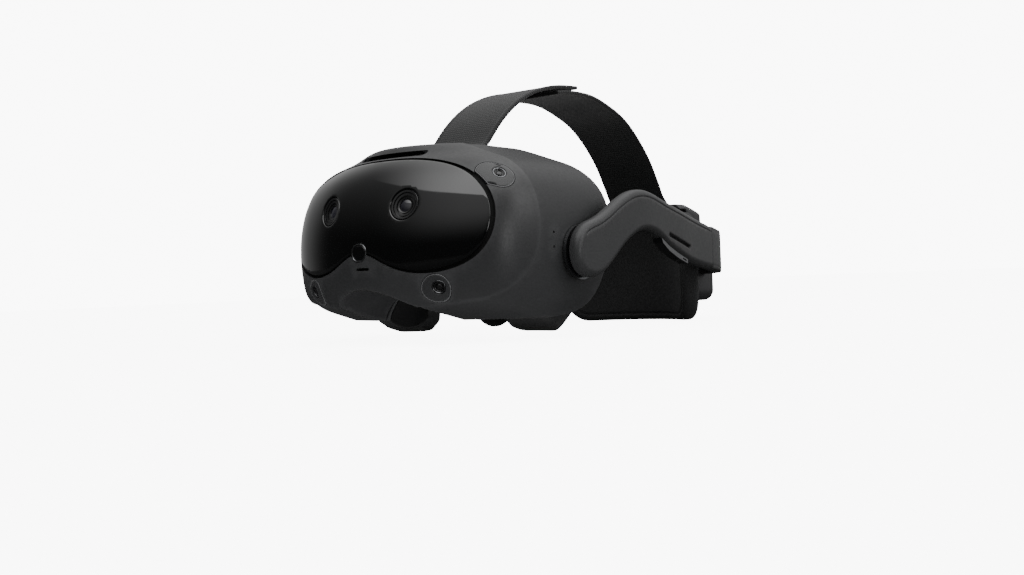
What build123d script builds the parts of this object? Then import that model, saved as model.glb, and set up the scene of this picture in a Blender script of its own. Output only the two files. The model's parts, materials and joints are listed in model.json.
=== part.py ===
"""Standalone VR headset: visor with two colour cameras and four tracking cameras, pivoting side arms with speakers,
rear cradle with fit dial and removable battery, face gasket, rear pad and top strap.

Frame: millimetres, +Z up, -Y is the way the wearer faces, +X is the wearer's left.
Profiles are drawn with Y measured back from the front of the visor; every piece is shifted by (0, -Y_MID, -Z_REST) on
export, so the origin is the middle of the footprint on the surface the headset rests on.
"""
import math
import os

from build123d import *

os.makedirs("parts", exist_ok=True)

# ---------------------------------------------------------------- driving dimensions
Y_MID = 184.7            # middle of the overall depth
Z_REST = 2.0             # lowest point of the rear pad
WALL = 2.4               # housing wall
HALF_W = 96.0            # half width of the visor at its widest
Y_BACK = 160.0           # back end of the visor form, before it is cut to the head
HUB_Y, HUB_Z = 97.0, 55.0    # headband pivot
HUB_R = 8.0              # arm bore, running on the pivot pin
PIN_R = 7.95
HEAD_Y = 212.0           # centre of the head oval
EYE_Z = 72.0             # height of the optical axes
IPD = 64.0               # lens spacing at rest
BARREL_R = 26.5
CAM_Y = 9.0              # front face of the colour cameras
ROD_Y, SCREW_Y, ROD_Z, LOW_ROD_Z = 46.5, 53.5, 102.0, 43.0
ROD_R = 1.5
ARM_IN, ARM_T = 97.4, 8.6    # inner face of the arm at the hub, arm thickness
SEAM_Y = 297.0           # end of the side arms, start of the rear cradle
STRAP_W = 52.0
STRAP_T = 2.4
CRADLE_TRAVEL = 16.0
DIAL_Z = 33.0

# line between the front and back housings, height against depth
SPLIT = [(127, 53), (116, 55.5), (104, 56.5), (88, 57.8), (66, 57.5), (50, 52), (38, 41), (30, 28), (25, 14), (20, 2)]
# plan outline of the visor, right half
BASE = [(0, 0), (22, 1.7), (42, 6.1), (58, 11.8), (72, 18.4), (82, 25.3), (88.6, 33.5), (92.8, 44.5), (95.2, 60),
        (96, 80), (95.7, 100), (93.6, 122), (89.4, 142), (84, Y_BACK)]
# height, half width, front of the section
LEVELS = [(10.6, 82.0, 62.0), (13.0, 85.5, 50.0), (18, 87.5, 31.0), (24, 89.8, 12.0), (32, 92.0, 1.0),
          (42, 94.0, -1.6), (56, 95.6, -2.0), (70, 96.0, -1.0), (84, 94.9, 1.8), (96, 91.6, 5.6),
          (106, 85.0, 10.4), (114, 74.8, 17.4), (120, 61.0, 27.5), (124.4, 38.0, 48.0)]
SHIELD = [(0, 59.0), (9, 57.6), (17.5, 53.6), (28, 49.0), (45, 46.0), (64, 48.6), (75, 54.5), (81.4, 63.5), (83.6, 76.5),
          (80.6, 89.5), (70, 102.0), (50, 111.2), (27, 115.3), (0, 116.2)]
NOSE = [(-46, 0), (-45, 14), (-37, 22.5), (-24, 29.5), (-10, 33.2), (0, 34.0), (10, 33.2), (24, 29.5), (37, 22.5), (45, 14), (46, 0)]
# side view limit of the back housing
HOOD = [(15.0, 44), (15.2, 70), (16.5, 96), (22.5, 116), (34, 129.5), (49, 138), (66, 143), (84, 144), (100, 136), (114, 122), (124, 104), (128, 90)]
# outer plan line of the side arm and the rear band
BAND = [(106.0, 78), (106.0, 97), (105.8, 118), (105.0, 142), (103.2, 164), (100.2, 186), (96.4, 209), (92.0, 234), (87.8, 255),
        (83.9, 276), (80.2, 296), (75.6, 316), (66.2, 334.4), (50.0, 347.4), (29.6, 354.0), (0, 356.4)]
# side outline of the arm, from the front of the hub round the top to the seam and back along the bottom
ARM_TOP = [(80.8, 55), (83.2, 64.5), (90, 71.2), (102, 75.4), (115, 80.4), (126, 86), (136, 90.5), (147, 94.2), (158, 96),
           (170, 96), (184, 94), (199, 91), (216, 88), (234, 85), (252, 82), (274, 78.6), (SEAM_Y, 75)]
ARM_LOW = [(SEAM_Y, 41.8), (276, 43.8), (258, 46.2), (240, 49.4), (222, 54), (206, 58.5), (195, 63), (183, 67), (170, 68.8), (158, 67.8),
           (147, 64.2), (136, 58.6), (127, 52.4), (118, 46), (109, 41), (98, 39), (88, 41.6), (82.4, 47.6)]


def grow(points, amount, closed=True):
    """Offset a polyline sideways by amount; outwards for an anticlockwise closed line."""
    out = []
    n = len(points)
    for i, p in enumerate(points):
        a = points[i - 1] if closed or i > 0 else p
        b = points[(i + 1) % n] if closed or i < n - 1 else p
        tx, ty = b[0] - a[0], b[1] - a[1]
        m = math.hypot(tx, ty)
        out.append((p[0] + amount * ty / m, p[1] - amount * tx / m))
    return out


def visor_form(off):
    """The closed outer form of the visor, pulled in by off all round."""
    with BuildPart() as form:
        for i, (z, w, y0) in enumerate(LEVELS):
            # lean of the wall at this height shares the pull-in between across and down
            low, high = LEVELS[max(i - 1, 0)], LEVELS[min(i + 1, len(LEVELS) - 1)]
            lean = math.hypot(high[0] - low[0], high[1] - low[1])
            across, up = (high[0] - low[0]) / lean, (low[1] - high[1]) / lean
            if i == 0:
                across, up = 0.8, -1.0
            elif i == len(LEVELS) - 1:
                across, up = 0.6, 1.0
            zz = z - off * up
            half = grow([(x * w / HALF_W, y0 + y * (Y_BACK - y0) / Y_BACK) for x, y in BASE], -off * across, closed=False)
            half[0] = (0.0, y0 + off * across)
            half[-1] = (half[-1][0], Y_BACK - off)
            with BuildSketch(Plane.XY.offset(zz)):
                with BuildLine():
                    s = Spline(*([(-x, y) for x, y in reversed(half[1:])] + half))
                    Line(s @ 1, s @ 0)
                make_face()
        loft()
    return form.part


def run_x(points, x0, x1, tail=None, spline=True):
    """A solid from an outline in YZ, run along X; a tail closes the spline with straight lines."""
    with BuildPart() as p:
        with BuildSketch(Plane.YZ.offset(x0)):
            with BuildLine():
                if spline:
                    s = Spline(*points)
                    Polyline(*([s @ 1] + (tail or []) + [s @ 0]))
                else:
                    Polyline(*points, close=True)
            make_face()
        extrude(amount=x1 - x0)
    return p.part


def run_y(points, y0, y1):
    """A solid from a closed smooth outline in XZ, run along Y."""
    with BuildPart() as p:
        with BuildSketch(Plane.XZ.offset(-y0)):
            with BuildLine():
                Spline(*points, periodic=True)
            make_face()
        extrude(amount=-(y1 - y0))
    return p.part


def rod_x(y, z, r, x0, x1):
    with BuildPart() as p:
        with BuildSketch(Plane.YZ.offset(x0)):
            with Locations((y, z)):
                Circle(r)
        extrude(amount=x1 - x0)
    return p.part


def rod_y(x, z, r, y0, y1):
    with BuildPart() as p:
        with BuildSketch(Plane.XZ.offset(-y0)):
            with Locations((x, z)):
                Circle(r)
        extrude(amount=-(y1 - y0))
    return p.part


def block(x0, x1, y0, y1, z0, z1, r=0.0):
    """A box given by its limits, with its long edges along Y rounded by r."""
    with BuildPart() as p:
        with BuildSketch(Plane.XZ.offset(-y0)):
            with Locations(((x0 + x1) / 2, (z0 + z1) / 2)):
                if r > 0:
                    RectangleRounded(x1 - x0, z1 - z0, r)
                else:
                    Rectangle(x1 - x0, z1 - z0)
        extrude(amount=-(y1 - y0))
    return p.part


def oval_z(a, b, z0, z1):
    """An elliptical column around the head."""
    with BuildPart() as p:
        with BuildSketch(Plane.XY.offset(z0)):
            with Locations((0, HEAD_Y)):
                Ellipse(a, b)
        extrude(amount=z1 - z0)
    return p.part


def mirrored(part):
    return part.mirror(Plane.YZ)


def write(builder, name):
    builder.part.label = name
    placed = builder.part.moved(Location((0, -Y_MID, -Z_REST)))
    placed.label = name
    export_step(placed, f"parts/{name}.step")


# ---------------------------------------------------------------- shared forms
OUTER = visor_form(0.0)
INNER = visor_form(WALL)
SKIN_IN = visor_form(1.8)
BACK_OUT = visor_form(1.6)
BACK_IN = visor_form(4.0)
split_line = [(y, z) for z, y in SPLIT]
FRONT_ZONE = run_x(split_line, -140, 140, tail=[(-40, 20), (-40, 127)])
FRONT_ZONE_GAP = run_x([(y + 0.4, z) for y, z in split_line], -140, 140, tail=[(-60, 20), (-60, 140), (53.4, 140)])
shield_all = SHIELD + [(-x, z) for x, z in reversed(SHIELD[1:-1])]
SHIELD_CUT = run_y(shield_all, -20, 44)
SHIELD_CUT_GAP = run_y(grow(shield_all, 0.9), -20, 44)
HOOD_CUT = run_x([(y, z) for z, y in HOOD], -140, 140, tail=[(90, 160), (220, 160), (220, -10), (44, -10)])
HEAD_CUT = oval_z(85.0, 124.0, -5, 190)


def nose_form(amount):
    front = grow(NOSE, -amount, closed=False)
    with BuildPart() as p:
        with BuildSketch(Plane.XZ.offset(40)):
            with BuildLine():
                s = Spline(*front)
                Line(s @ 1, s @ 0)
            make_face()
        with BuildSketch(Plane.XZ.offset(-200)):
            with BuildLine():
                s = Spline(*[(x * 0.62, z * 1.45) for x, z in front])
                Line(s @ 1, s @ 0)
            make_face()
        loft()
    return p.part


NOSE_CUT = nose_form(0.0)
NOSE_OUT = nose_form(2.0)

# tracking camera pods: centre on the skin, outward direction
UP_C, UP_N = (80.0, 36.0, 104.8), (0.62, -0.42, 0.66)
LO_C, LO_N = (52.4, 9.0, 35.2), (0.26, -0.93, -0.26)


def pod_plane(centre, normal):
    n = Vector(*normal).normalized()
    return Plane(origin=centre, x_dir=Vector(0, 0, 1).cross(n).normalized(), z_dir=n)


def upper_pod(extra):
    with BuildPart() as p:
        with BuildSketch(pod_plane(UP_C, UP_N).offset(-9)):
            SlotOverall(24.5 + 2 * extra, 19 + 2 * extra, rotation=-22)
        extrude(amount=18)
    return p.part


def lower_pod(extra):
    with BuildPart() as p:
        with BuildSketch(pod_plane(LO_C, LO_N).offset(-9)):
            Ellipse(9.4 + extra, 9.2 + extra)
        extrude(amount=18)
    return p.part


def pod_bore(centre, normal, shift, r, low=-9.0, high=9.0):
    with BuildPart() as p:
        with BuildSketch(pod_plane(centre, normal).offset(low)):
            with Locations(shift):
                Circle(r)
        extrude(amount=high - low)
    return p.part


UP_SHIFT, LO_SHIFT = (2.8, 0.8), (1.8, 1.0)
UP_HOLE, LO_HOLE = upper_pod(0.25), lower_pod(0.25)
UP_BORE, LO_BORE = pod_bore(UP_C, UP_N, UP_SHIFT, 4.2), pod_bore(LO_C, LO_N, LO_SHIFT, 4.2)
UP_SOLID, LO_SOLID = upper_pod(0.0), lower_pod(0.0)
CAM_BORES = rod_y(IPD / 2, 87, 9.7, -20, 40) + rod_y(-IPD / 2, 87, 9.7, -20, 40)
WINDOW_CUT = block(-6.5, 6.5, -20, 40, 53.4, 65.0, 5.4)
POD_SKIN = visor_form(0.05)

# ---------------------------------------------------------------- visor covers
with BuildPart() as front_shield:
    add(OUTER)
    add(SKIN_IN, mode=Mode.SUBTRACT)
    add(SHIELD_CUT, mode=Mode.INTERSECT)
    add(CAM_BORES, mode=Mode.SUBTRACT)
    add(WINDOW_CUT, mode=Mode.SUBTRACT)

VENT = block(-28, 28, -20, 35, 118.0, 121.8, 1.8)
with BuildPart() as front_housing:
    add(OUTER)
    add(INNER, mode=Mode.SUBTRACT)
    add(FRONT_ZONE, mode=Mode.INTERSECT)
    add(SHIELD_CUT_GAP, mode=Mode.SUBTRACT)
    add(NOSE_CUT, mode=Mode.SUBTRACT)
    add(UP_HOLE, mode=Mode.SUBTRACT)
    add(mirrored(UP_HOLE), mode=Mode.SUBTRACT)
    add(LO_HOLE, mode=Mode.SUBTRACT)
    add(mirrored(LO_HOLE), mode=Mode.SUBTRACT)
    add(VENT, mode=Mode.SUBTRACT)
    add(block(-2.2, 8.4, -20, 12, 48.2, 49.8, 0.75), mode=Mode.SUBTRACT)
    add(WINDOW_CUT, mode=Mode.SUBTRACT)

HUB_BORES = rod_x(HUB_Y, HUB_Z, 9.2, -120, 120)
# right side controls: y, z
POWER_AT, VOLUME_AT, USB_AT, JACK_AT = (71.0, 82.0), (71.0, 56.0), (110.0, 32.0), (95.0, 29.0)


def side_slot(y, z, length, width, x0, x1, upright=False):
    with BuildPart() as p:
        with BuildSketch(Plane.YZ.offset(x0)):
            with Locations((y, z)):
                SlotOverall(length, width, rotation=90 if upright else 0)
        extrude(amount=x1 - x0)
    return p.part


with BuildPart() as rear_housing:
    add(BACK_OUT)
    add(BACK_IN, mode=Mode.SUBTRACT)
    add(FRONT_ZONE_GAP, mode=Mode.SUBTRACT)
    add(HOOD_CUT, mode=Mode.SUBTRACT)
    add(HEAD_CUT, mode=Mode.SUBTRACT)
    add(NOSE_CUT, mode=Mode.SUBTRACT)
    add(HUB_BORES, mode=Mode.SUBTRACT)
    add(rod_x(72, 67.5, 0.9, 60, 120), mode=Mode.SUBTRACT)
    add(rod_x(72, 58.5, 0.9, 60, 120), mode=Mode.SUBTRACT)
    add(rod_x(POWER_AT[0], POWER_AT[1], 4.6, -120, -60), mode=Mode.SUBTRACT)
    add(side_slot(*VOLUME_AT, 22.6, 6.2, -120, -60, True), mode=Mode.SUBTRACT)
    add(side_slot(*USB_AT, 10.6, 4.8, -120, -60), mode=Mode.SUBTRACT)
    add(rod_x(JACK_AT[0], JACK_AT[1], 3.25, -120, -60), mode=Mode.SUBTRACT)
    add(block(-29, 29, 76, 86, 112, 130), mode=Mode.SUBTRACT)

# ---------------------------------------------------------------- cameras and windows
with BuildPart() as colour_camera_left:
    add(rod_y(IPD / 2, 87, 9.3, CAM_Y, 17.5))
    add(rod_y(IPD / 2, 87, 7.2, CAM_Y - 1, CAM_Y + 1.4), mode=Mode.SUBTRACT)
    add(rod_y(IPD / 2, 87, 5.0, CAM_Y - 1, CAM_Y + 4.4), mode=Mode.SUBTRACT)
with BuildPart() as colour_camera_right:
    add(mirrored(colour_camera_left.part))
with BuildPart() as colour_lens_left:
    with BuildSketch(Plane.YZ.offset(IPD / 2)) as profile:
        with BuildLine():
            Line((CAM_Y + 4.4, 87), (CAM_Y + 2.2, 87))
            ThreePointArc((CAM_Y + 2.2, 87), (CAM_Y + 2.55, 89.4), (CAM_Y + 3.6, 91.8))
            Polyline((CAM_Y + 3.6, 91.8), (CAM_Y + 4.4, 91.8), (CAM_Y + 4.4, 87))
        make_face()
    revolve(axis=Axis((IPD / 2, 0, 87), (0, 1, 0)))
with BuildPart() as colour_lenses:
    add(colour_lens_left.part)
    add(mirrored(colour_lens_left.part))
with BuildPart() as depth_window:
    add(block(-6.2, 6.2, -20, 40, 53.7, 64.7, 5.1))
    add(POD_SKIN, mode=Mode.INTERSECT)
    add(INNER, mode=Mode.SUBTRACT)

with BuildPart() as upper_camera_cover_left:
    add(UP_SOLID)
    add(POD_SKIN, mode=Mode.INTERSECT)
    add(INNER, mode=Mode.SUBTRACT)
    add(SHIELD_CUT_GAP, mode=Mode.SUBTRACT)
    add(UP_BORE, mode=Mode.SUBTRACT)
with BuildPart() as upper_camera_cover_right:
    add(mirrored(upper_camera_cover_left.part))
with BuildPart() as lower_camera_cover_left:
    add(LO_SOLID)
    add(POD_SKIN, mode=Mode.INTERSECT)
    add(INNER, mode=Mode.SUBTRACT)
    add(SHIELD_CUT_GAP, mode=Mode.SUBTRACT)
    add(LO_BORE, mode=Mode.SUBTRACT)
with BuildPart() as lower_camera_cover_right:
    add(mirrored(lower_camera_cover_left.part))


def tracking_lens(centre, normal, shift):
    """A small domed lens on its barrel, set in the bore of a camera cover."""
    pl = pod_plane(centre, normal)
    with BuildPart() as p:
        with BuildSketch(pl.offset(-8.5)):
            with Locations(shift):
                Circle(4.0)
        extrude(amount=7.3)
        with BuildSketch(pl.offset(-1.2)):
            with Locations(shift):
                Circle(2.9)
        extrude(amount=0.8, taper=35)
    return p.part


UP_LENS, LO_LENS = tracking_lens(UP_C, UP_N, UP_SHIFT), tracking_lens(LO_C, LO_N, LO_SHIFT)
with BuildPart() as tracking_lenses:
    add(UP_LENS)
    add(mirrored(UP_LENS))
    add(LO_LENS)
    add(mirrored(LO_LENS))

with BuildPart() as vent_grille:
    add(block(-27.6, 27.6, 33.0, 36.0, 114.4, 119.4))
    for k in range(9):
        add(block(-24.6 + 5.6 * k, -20.6 + 5.6 * k, 30, 40, 115.6, 118.2), mode=Mode.SUBTRACT)
    add(INNER, mode=Mode.INTERSECT)

# ---------------------------------------------------------------- optics and electronics
with BuildPart() as inner_cover:
    add(block(-120, 120, 61.0, 63.0, 0, 130))
    add(BACK_IN, mode=Mode.INTERSECT)
    add(NOSE_OUT, mode=Mode.SUBTRACT)
    with BuildSketch(Plane.XZ.offset(-50)):
        with Locations((IPD / 2, EYE_Z), (-IPD / 2, EYE_Z)):
            SlotOverall(2 * BARREL_R + 10, 2 * BARREL_R - 2)
    extrude(amount=-20, mode=Mode.SUBTRACT)
    add(block(65.0, 67.5, 42, 61.0, 38.5, 106.5))
    add(block(-67.5, -65.0, 42, 61.0, 38.5, 106.5))
    add(rod_x(ROD_Y, ROD_Z, ROD_R, -70, 70), mode=Mode.SUBTRACT)
    add(rod_x(ROD_Y, LOW_ROD_Z, ROD_R, -70, 70), mode=Mode.SUBTRACT)
    add(rod_x(SCREW_Y, ROD_Z, ROD_R + 0.05, -70, 70), mode=Mode.SUBTRACT)
with BuildPart() as guide_rods:
    add(rod_x(ROD_Y, ROD_Z, ROD_R, -67.5, 67.5))
    add(rod_x(ROD_Y, LOW_ROD_Z, ROD_R, -67.5, 67.5))
with BuildPart() as lead_screw:
    add(rod_x(SCREW_Y, ROD_Z, ROD_R, -67.4, 67.6))
    add(rod_x(SCREW_Y, ROD_Z, 2.6, -65, -63.6))
    add(rod_x(SCREW_Y, ROD_Z, 2.6, 63.6, 65))
with BuildPart() as ipd_motor:
    add(rod_x(SCREW_Y, ROD_Z, 4.3, 67.9, 76.6))
    add(block(67.9, 69.1, SCREW_Y - 7, SCREW_Y + 6, ROD_Z - 5, ROD_Z + 4.4))

with BuildPart() as lens_barrel_left:
    add(rod_y(IPD / 2, EYE_Z, BARREL_R, 35, 60.4))
    add(rod_y(IPD / 2, EYE_Z, BARREL_R - 1.8, 30, 70), mode=Mode.SUBTRACT)
    add(block(IPD / 2 - 7, IPD / 2 + 7, 43, 57, 97.6, 105.4))
    add(block(IPD / 2 - 5, IPD / 2 + 5, 43, 50, 40.2, 46.4))
    add(rod_y(IPD / 2, EYE_Z, BARREL_R - 1.8, 30, 70), mode=Mode.SUBTRACT)
    add(rod_x(ROD_Y, ROD_Z, ROD_R + 0.05, 0, 70), mode=Mode.SUBTRACT)
    add(rod_x(ROD_Y, LOW_ROD_Z, ROD_R + 0.05, 0, 70), mode=Mode.SUBTRACT)
    add(rod_x(SCREW_Y, ROD_Z, ROD_R + 0.08, 0, 70), mode=Mode.SUBTRACT)
with BuildPart() as lens_barrel_right:
    add(mirrored(lens_barrel_left.part))
LENS_CURVE = 76.0        # radius of the eye side of the lens
with BuildPart() as lens_left:
    add(rod_y(IPD / 2, EYE_Z, BARREL_R - 2.0, 53.6, 62.0))
    with Locations((IPD / 2, 60.2 - LENS_CURVE, EYE_Z)):
        Sphere(LENS_CURVE, mode=Mode.INTERSECT)
with BuildPart() as lens_right:
    add(mirrored(lens_left.part))
with BuildPart() as display_left:
    add(rod_y(IPD / 2, EYE_Z, BARREL_R - 2.0, 35.2, 37.2))
with BuildPart() as display_right:
    add(mirrored(display_left.part))

with BuildPart() as main_board:
    with BuildSketch(Plane.XZ.offset(-31.0)):
        with Locations((0, 76)):
            RectangleRounded(118, 54, 6)
        with Locations((0, 89)):
            Circle(4, mode=Mode.SUBTRACT)
    extrude(amount=-1.6)
    add(block(-48, -24, 30.0, 31.0, 60, 84))
    add(block(26, 44, 29.6, 31.0, 58, 72))
with BuildPart() as heat_sink:
    add(block(-52, -23, 26.8, 29.6, 56, 90))
    for k in range(8):
        add(block(-51.6 + 4 * k, -50.4 + 4 * k, 21.0, 26.8, 57, 89))
with BuildPart() as fan_housing:
    with BuildSketch(Plane.XZ.offset(-18.0)):
        with Locations((0, 86)):
            RectangleRounded(41, 41, 5)
            Circle(18.4, mode=Mode.SUBTRACT)
    extrude(amount=-10)
    with BuildSketch(Plane.XZ.offset(-27.0)):
        with Locations((0, 86)):
            Circle(7.5)
            for ang in (45, 165, 285):
                with PolarLocations(0, 1, start_angle=ang):
                    with Locations((13, 0)):
                        Rectangle(13, 2.4)
    extrude(amount=-1)
with BuildPart() as fan_rotor:
    add(rod_y(0, 86, 7.0, 19.0, 26.4))
    for k in range(9):
        with BuildSketch(Plane(origin=(0, 19.6, 86), x_dir=(math.cos(k * 0.6981), 0, math.sin(k * 0.6981)), z_dir=(0, 1, 0))):
            with Locations((11.6, 0)):
                Rectangle(11.2, 1.1, rotation=18)
        extrude(amount=6.0)
with BuildPart() as nose_wall:
    add(NOSE_OUT)
    add(NOSE_CUT, mode=Mode.SUBTRACT)
    add(block(-80, 80, -20, 57, -5, 80), mode=Mode.INTERSECT)
with BuildPart() as nose_wall_back:
    add(nose_wall.part)
    add(BACK_IN, mode=Mode.INTERSECT)
    add(FRONT_ZONE, mode=Mode.SUBTRACT)
with BuildPart() as nose_cover:
    add(nose_wall.part)
    add(INNER, mode=Mode.INTERSECT)
    add(FRONT_ZONE, mode=Mode.INTERSECT)
    add(nose_wall_back.part)
    add(rod_x(ROD_Y, LOW_ROD_Z, ROD_R + 0.3, -70, 70), mode=Mode.SUBTRACT)

# ---------------------------------------------------------------- side keys and sockets, on the wearer's right
with BuildPart() as power_key:
    add(rod_x(POWER_AT[0], POWER_AT[1], 4.35, -95.2, -90.0))
    add(rod_x(POWER_AT[0], POWER_AT[1], 5.6, -89.6, -87.0))
    add(rod_x(POWER_AT[0], POWER_AT[1], 4.35, -90.0, -89.0))
with BuildPart() as volume_key:
    add(side_slot(*VOLUME_AT, 22.0, 5.6, -95.4, -89.4, True))
    add(side_slot(*VOLUME_AT, 25.0, 8.6, -89.4, -87.6, True))
    add(rod_y(-88.6, VOLUME_AT[1], 1.4, 66.0, 76.0))
with BuildPart() as usb_socket:
    add(side_slot(*USB_AT, 10.4, 4.6, -92.0, -82.5))
    add(side_slot(*USB_AT, 8.9, 3.1, -95.0, -84.0), mode=Mode.SUBTRACT)
    add(block(-91.0, -84.0, USB_AT[0] - 3.2, USB_AT[0] + 3.2, USB_AT[1] - 0.35, USB_AT[1] + 0.35))
with BuildPart() as headphone_socket:
    add(rod_x(JACK_AT[0], JACK_AT[1], 3.2, -92.4, -80.0))
    add(rod_x(JACK_AT[0], JACK_AT[1], 1.78, -95.0, -81.0), mode=Mode.SUBTRACT)

# ---------------------------------------------------------------- pivots
with BuildPart() as pivot_pin_left:
    add(rod_x(HUB_Y, HUB_Z, 13.0, 84.5, 89.0))
    add(rod_x(HUB_Y, HUB_Z, 9.2, 89.0, 96.8))
    add(rod_x(HUB_Y, HUB_Z, PIN_R, 96.8, 103.6))
    fillet(edges().filter_by(GeomType.CIRCLE).sort_by(Axis.X)[-1], 0.6)
with BuildPart() as pivot_pin_right:
    add(mirrored(pivot_pin_left.part))
with BuildPart() as pivot_ring_left:
    add(rod_x(HUB_Y, HUB_Z, 17.2, 94.9, 97.0))
    add(rod_x(HUB_Y, HUB_Z, 9.3, 90, 100), mode=Mode.SUBTRACT)
with BuildPart() as pivot_rings:
    add(pivot_ring_left.part)
    add(mirrored(pivot_ring_left.part))

# ---------------------------------------------------------------- face gasket
CUSHION_LEVELS = [(4.2, 73.0), (6.0, 77.0), (10, 79.6), (16, 81.2), (24, 84.4), (36, 88.0), (50, 90.2), (66, 91.2), (82, 90.0),
                  (95, 86.4), (105, 78.8), (112, 67.0), (116.8, 52.0)]
with BuildPart() as cushion_form:
    for z, w in CUSHION_LEVELS:
        side = [(w - 1.4, 66.5), (w - 1.9, 80), (w - 4.4, 97), (w - 8.2, 115), (w - 8.6, 132), (w - 9.6, 152)]
        with BuildSketch(Plane.XY.offset(z)):
            with BuildLine():
                right = Spline(*side)
                left = Spline(*[(-x, y) for x, y in reversed(side)])
                Line(right @ 1, left @ 0)
                Line(left @ 1, right @ 0)
            make_face()
    loft()
    # channels that let the gasket pass the pivots, keys and sockets
    add(block(84.0, 120, 60, 111.5, 40.5, 69.5), mode=Mode.SUBTRACT)
    add(block(-120, -84.0, 60, 111.5, 40.5, 69.5), mode=Mode.SUBTRACT)
    add(block(-120, -86.0, 60, 78.5, 66.0, 89.5), mode=Mode.SUBTRACT)
    add(block(-120, -78.4, 60, 117.0, 24.0, 41.0), mode=Mode.SUBTRACT)
CUSHION_HOOD = run_x([(y + (7 if z > 22 else 5), z if z > 20 else z - 14) for z, y in HOOD], -140, 140,
                     tail=[(97, 160), (220, 160), (220, -10), (49, -10)])
with BuildPart() as eye_space:
    with BuildSketch(Plane.XZ.offset(-55)):
        with Locations((0, 64)):
            RectangleRounded(136, 78, 36)
    extrude(amount=-120)
with BuildPart() as face_cushion:
    add(cushion_form.part)
    add(CUSHION_HOOD, mode=Mode.SUBTRACT)
    add(oval_z(83.0, 113.0, -5, 190), mode=Mode.SUBTRACT)
    add(eye_space.part, mode=Mode.SUBTRACT)
    add(NOSE_OUT, mode=Mode.SUBTRACT)
    add(block(-120, 120, 68.5, 160, 0, 130), mode=Mode.INTERSECT)
    add(run_x([(60, 0), (60, 21.0), (84.0, 20.6), (88.0, 14.6), (95, 8.6), (106, 4.2), (106, 0)], -120, 120, spline=False), mode=Mode.SUBTRACT)
with BuildPart() as face_cushion_frame:
    add(cushion_form.part)
    add(block(-120, 120, 66.6, 68.5, 21.0, 130), mode=Mode.INTERSECT)
    add(eye_space.part, mode=Mode.SUBTRACT)
    add(NOSE_OUT, mode=Mode.SUBTRACT)
with BuildPart() as nose_flap:
    add(NOSE_OUT)
    add(NOSE_CUT, mode=Mode.SUBTRACT)
    add(block(-80, 80, 64.2, 100, 9.5, 80), mode=Mode.INTERSECT)
    add(oval_z(83.0, 113.0, -5, 190), mode=Mode.SUBTRACT)

# ---------------------------------------------------------------- side arms
ARM_LINE = ARM_TOP + ARM_LOW


def side_prism(amount, x0=55, x1=120):
    line = grow(ARM_LINE, amount)
    n = len(ARM_TOP)
    top, low = line[:n], line[n:]
    with BuildPart() as p:
        with BuildSketch(Plane.YZ.offset(x0)):
            with BuildLine():
                a = Spline(*(low[1:] + top[:-1]))
                Polyline(a @ 1, top[-1], low[0], a @ 0)
            make_face()
        extrude(amount=x1 - x0)
    return p.part


def band_prism(inner, outer, z0=0, z1=130, last=16):
    """The strip between two lines parallel to the outer plan line of the band."""
    a = grow(BAND[:last], -outer, closed=False)
    b = grow(BAND[:last], -inner, closed=False)
    if last == 16:
        a[-1] = (0.0, BAND[-1][1] - outer)
        b[-1] = (0.0, BAND[-1][1] - inner)
    with BuildPart() as p:
        with BuildSketch(Plane.XY.offset(z0)):
            with BuildLine():
                one = Spline(*a)
                two = Spline(*reversed(b))
                Line(one @ 1, two @ 0)
                Line(two @ 1, one @ 0)
            make_face()
        extrude(amount=z1 - z0)
    return p.part


SIDE_FULL = side_prism(0.0)
SIDE_IN = side_prism(2.2)
BAND_FULL = band_prism(0.0, ARM_T)
HUB_BOSS = rod_x(HUB_Y, HUB_Z, 12.0, 90, 110)
HUB_HOLE = rod_x(HUB_Y, HUB_Z, HUB_R, 90, 104.0)
SLOT_PTS = [(204.0, 68.4), (247.0, 59.4), (247.0, 56.6), (204.0, 65.4)]
SPEAKER_SLOT = run_x(SLOT_PTS, 60, 120, spline=False)
EAR_OPENING = run_x([(196.0, 50.0), (236.0, 40.0), (238.5, 51.2), (199.0, 61.4)], 70, 98.6, spline=False)
print("arm line area sign check", round(SIDE_FULL.volume), round(SIDE_IN.volume))
with BuildPart() as arm_left:
    add(SIDE_FULL)
    add(BAND_FULL, mode=Mode.INTERSECT)
ARM_SOLID = arm_left.part
with BuildPart() as arm_pocket:
    add(SIDE_IN)
    add(band_prism(2.0, ARM_T + 1.5), mode=Mode.INTERSECT)
    add(HUB_BOSS, mode=Mode.SUBTRACT)
    add(block(60, 120, 60, 290, 20, 110), mode=Mode.INTERSECT)
with BuildPart() as arm_left:
    add(ARM_SOLID)
    add(arm_pocket.part, mode=Mode.SUBTRACT)
    add(HUB_HOLE, mode=Mode.SUBTRACT)
    add(SPEAKER_SLOT, mode=Mode.SUBTRACT)
with BuildPart() as arm_cover_left:
    add(arm_pocket.part)
    add(band_prism(ARM_T - 1.6, ARM_T), mode=Mode.INTERSECT)
with BuildPart() as arm_right:
    add(mirrored(arm_left.part))
with BuildPart() as arm_cover_right:
    add(mirrored(arm_cover_left.part))
with BuildPart() as speaker_left:
    add(arm_pocket.part)
    add(band_prism(3.4, ARM_T - 2.0), mode=Mode.INTERSECT)
    add(block(60, 120, 200, 252, 40, 100), mode=Mode.INTERSECT)
with BuildPart() as speaker_right:
    add(mirrored(speaker_left.part))
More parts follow.
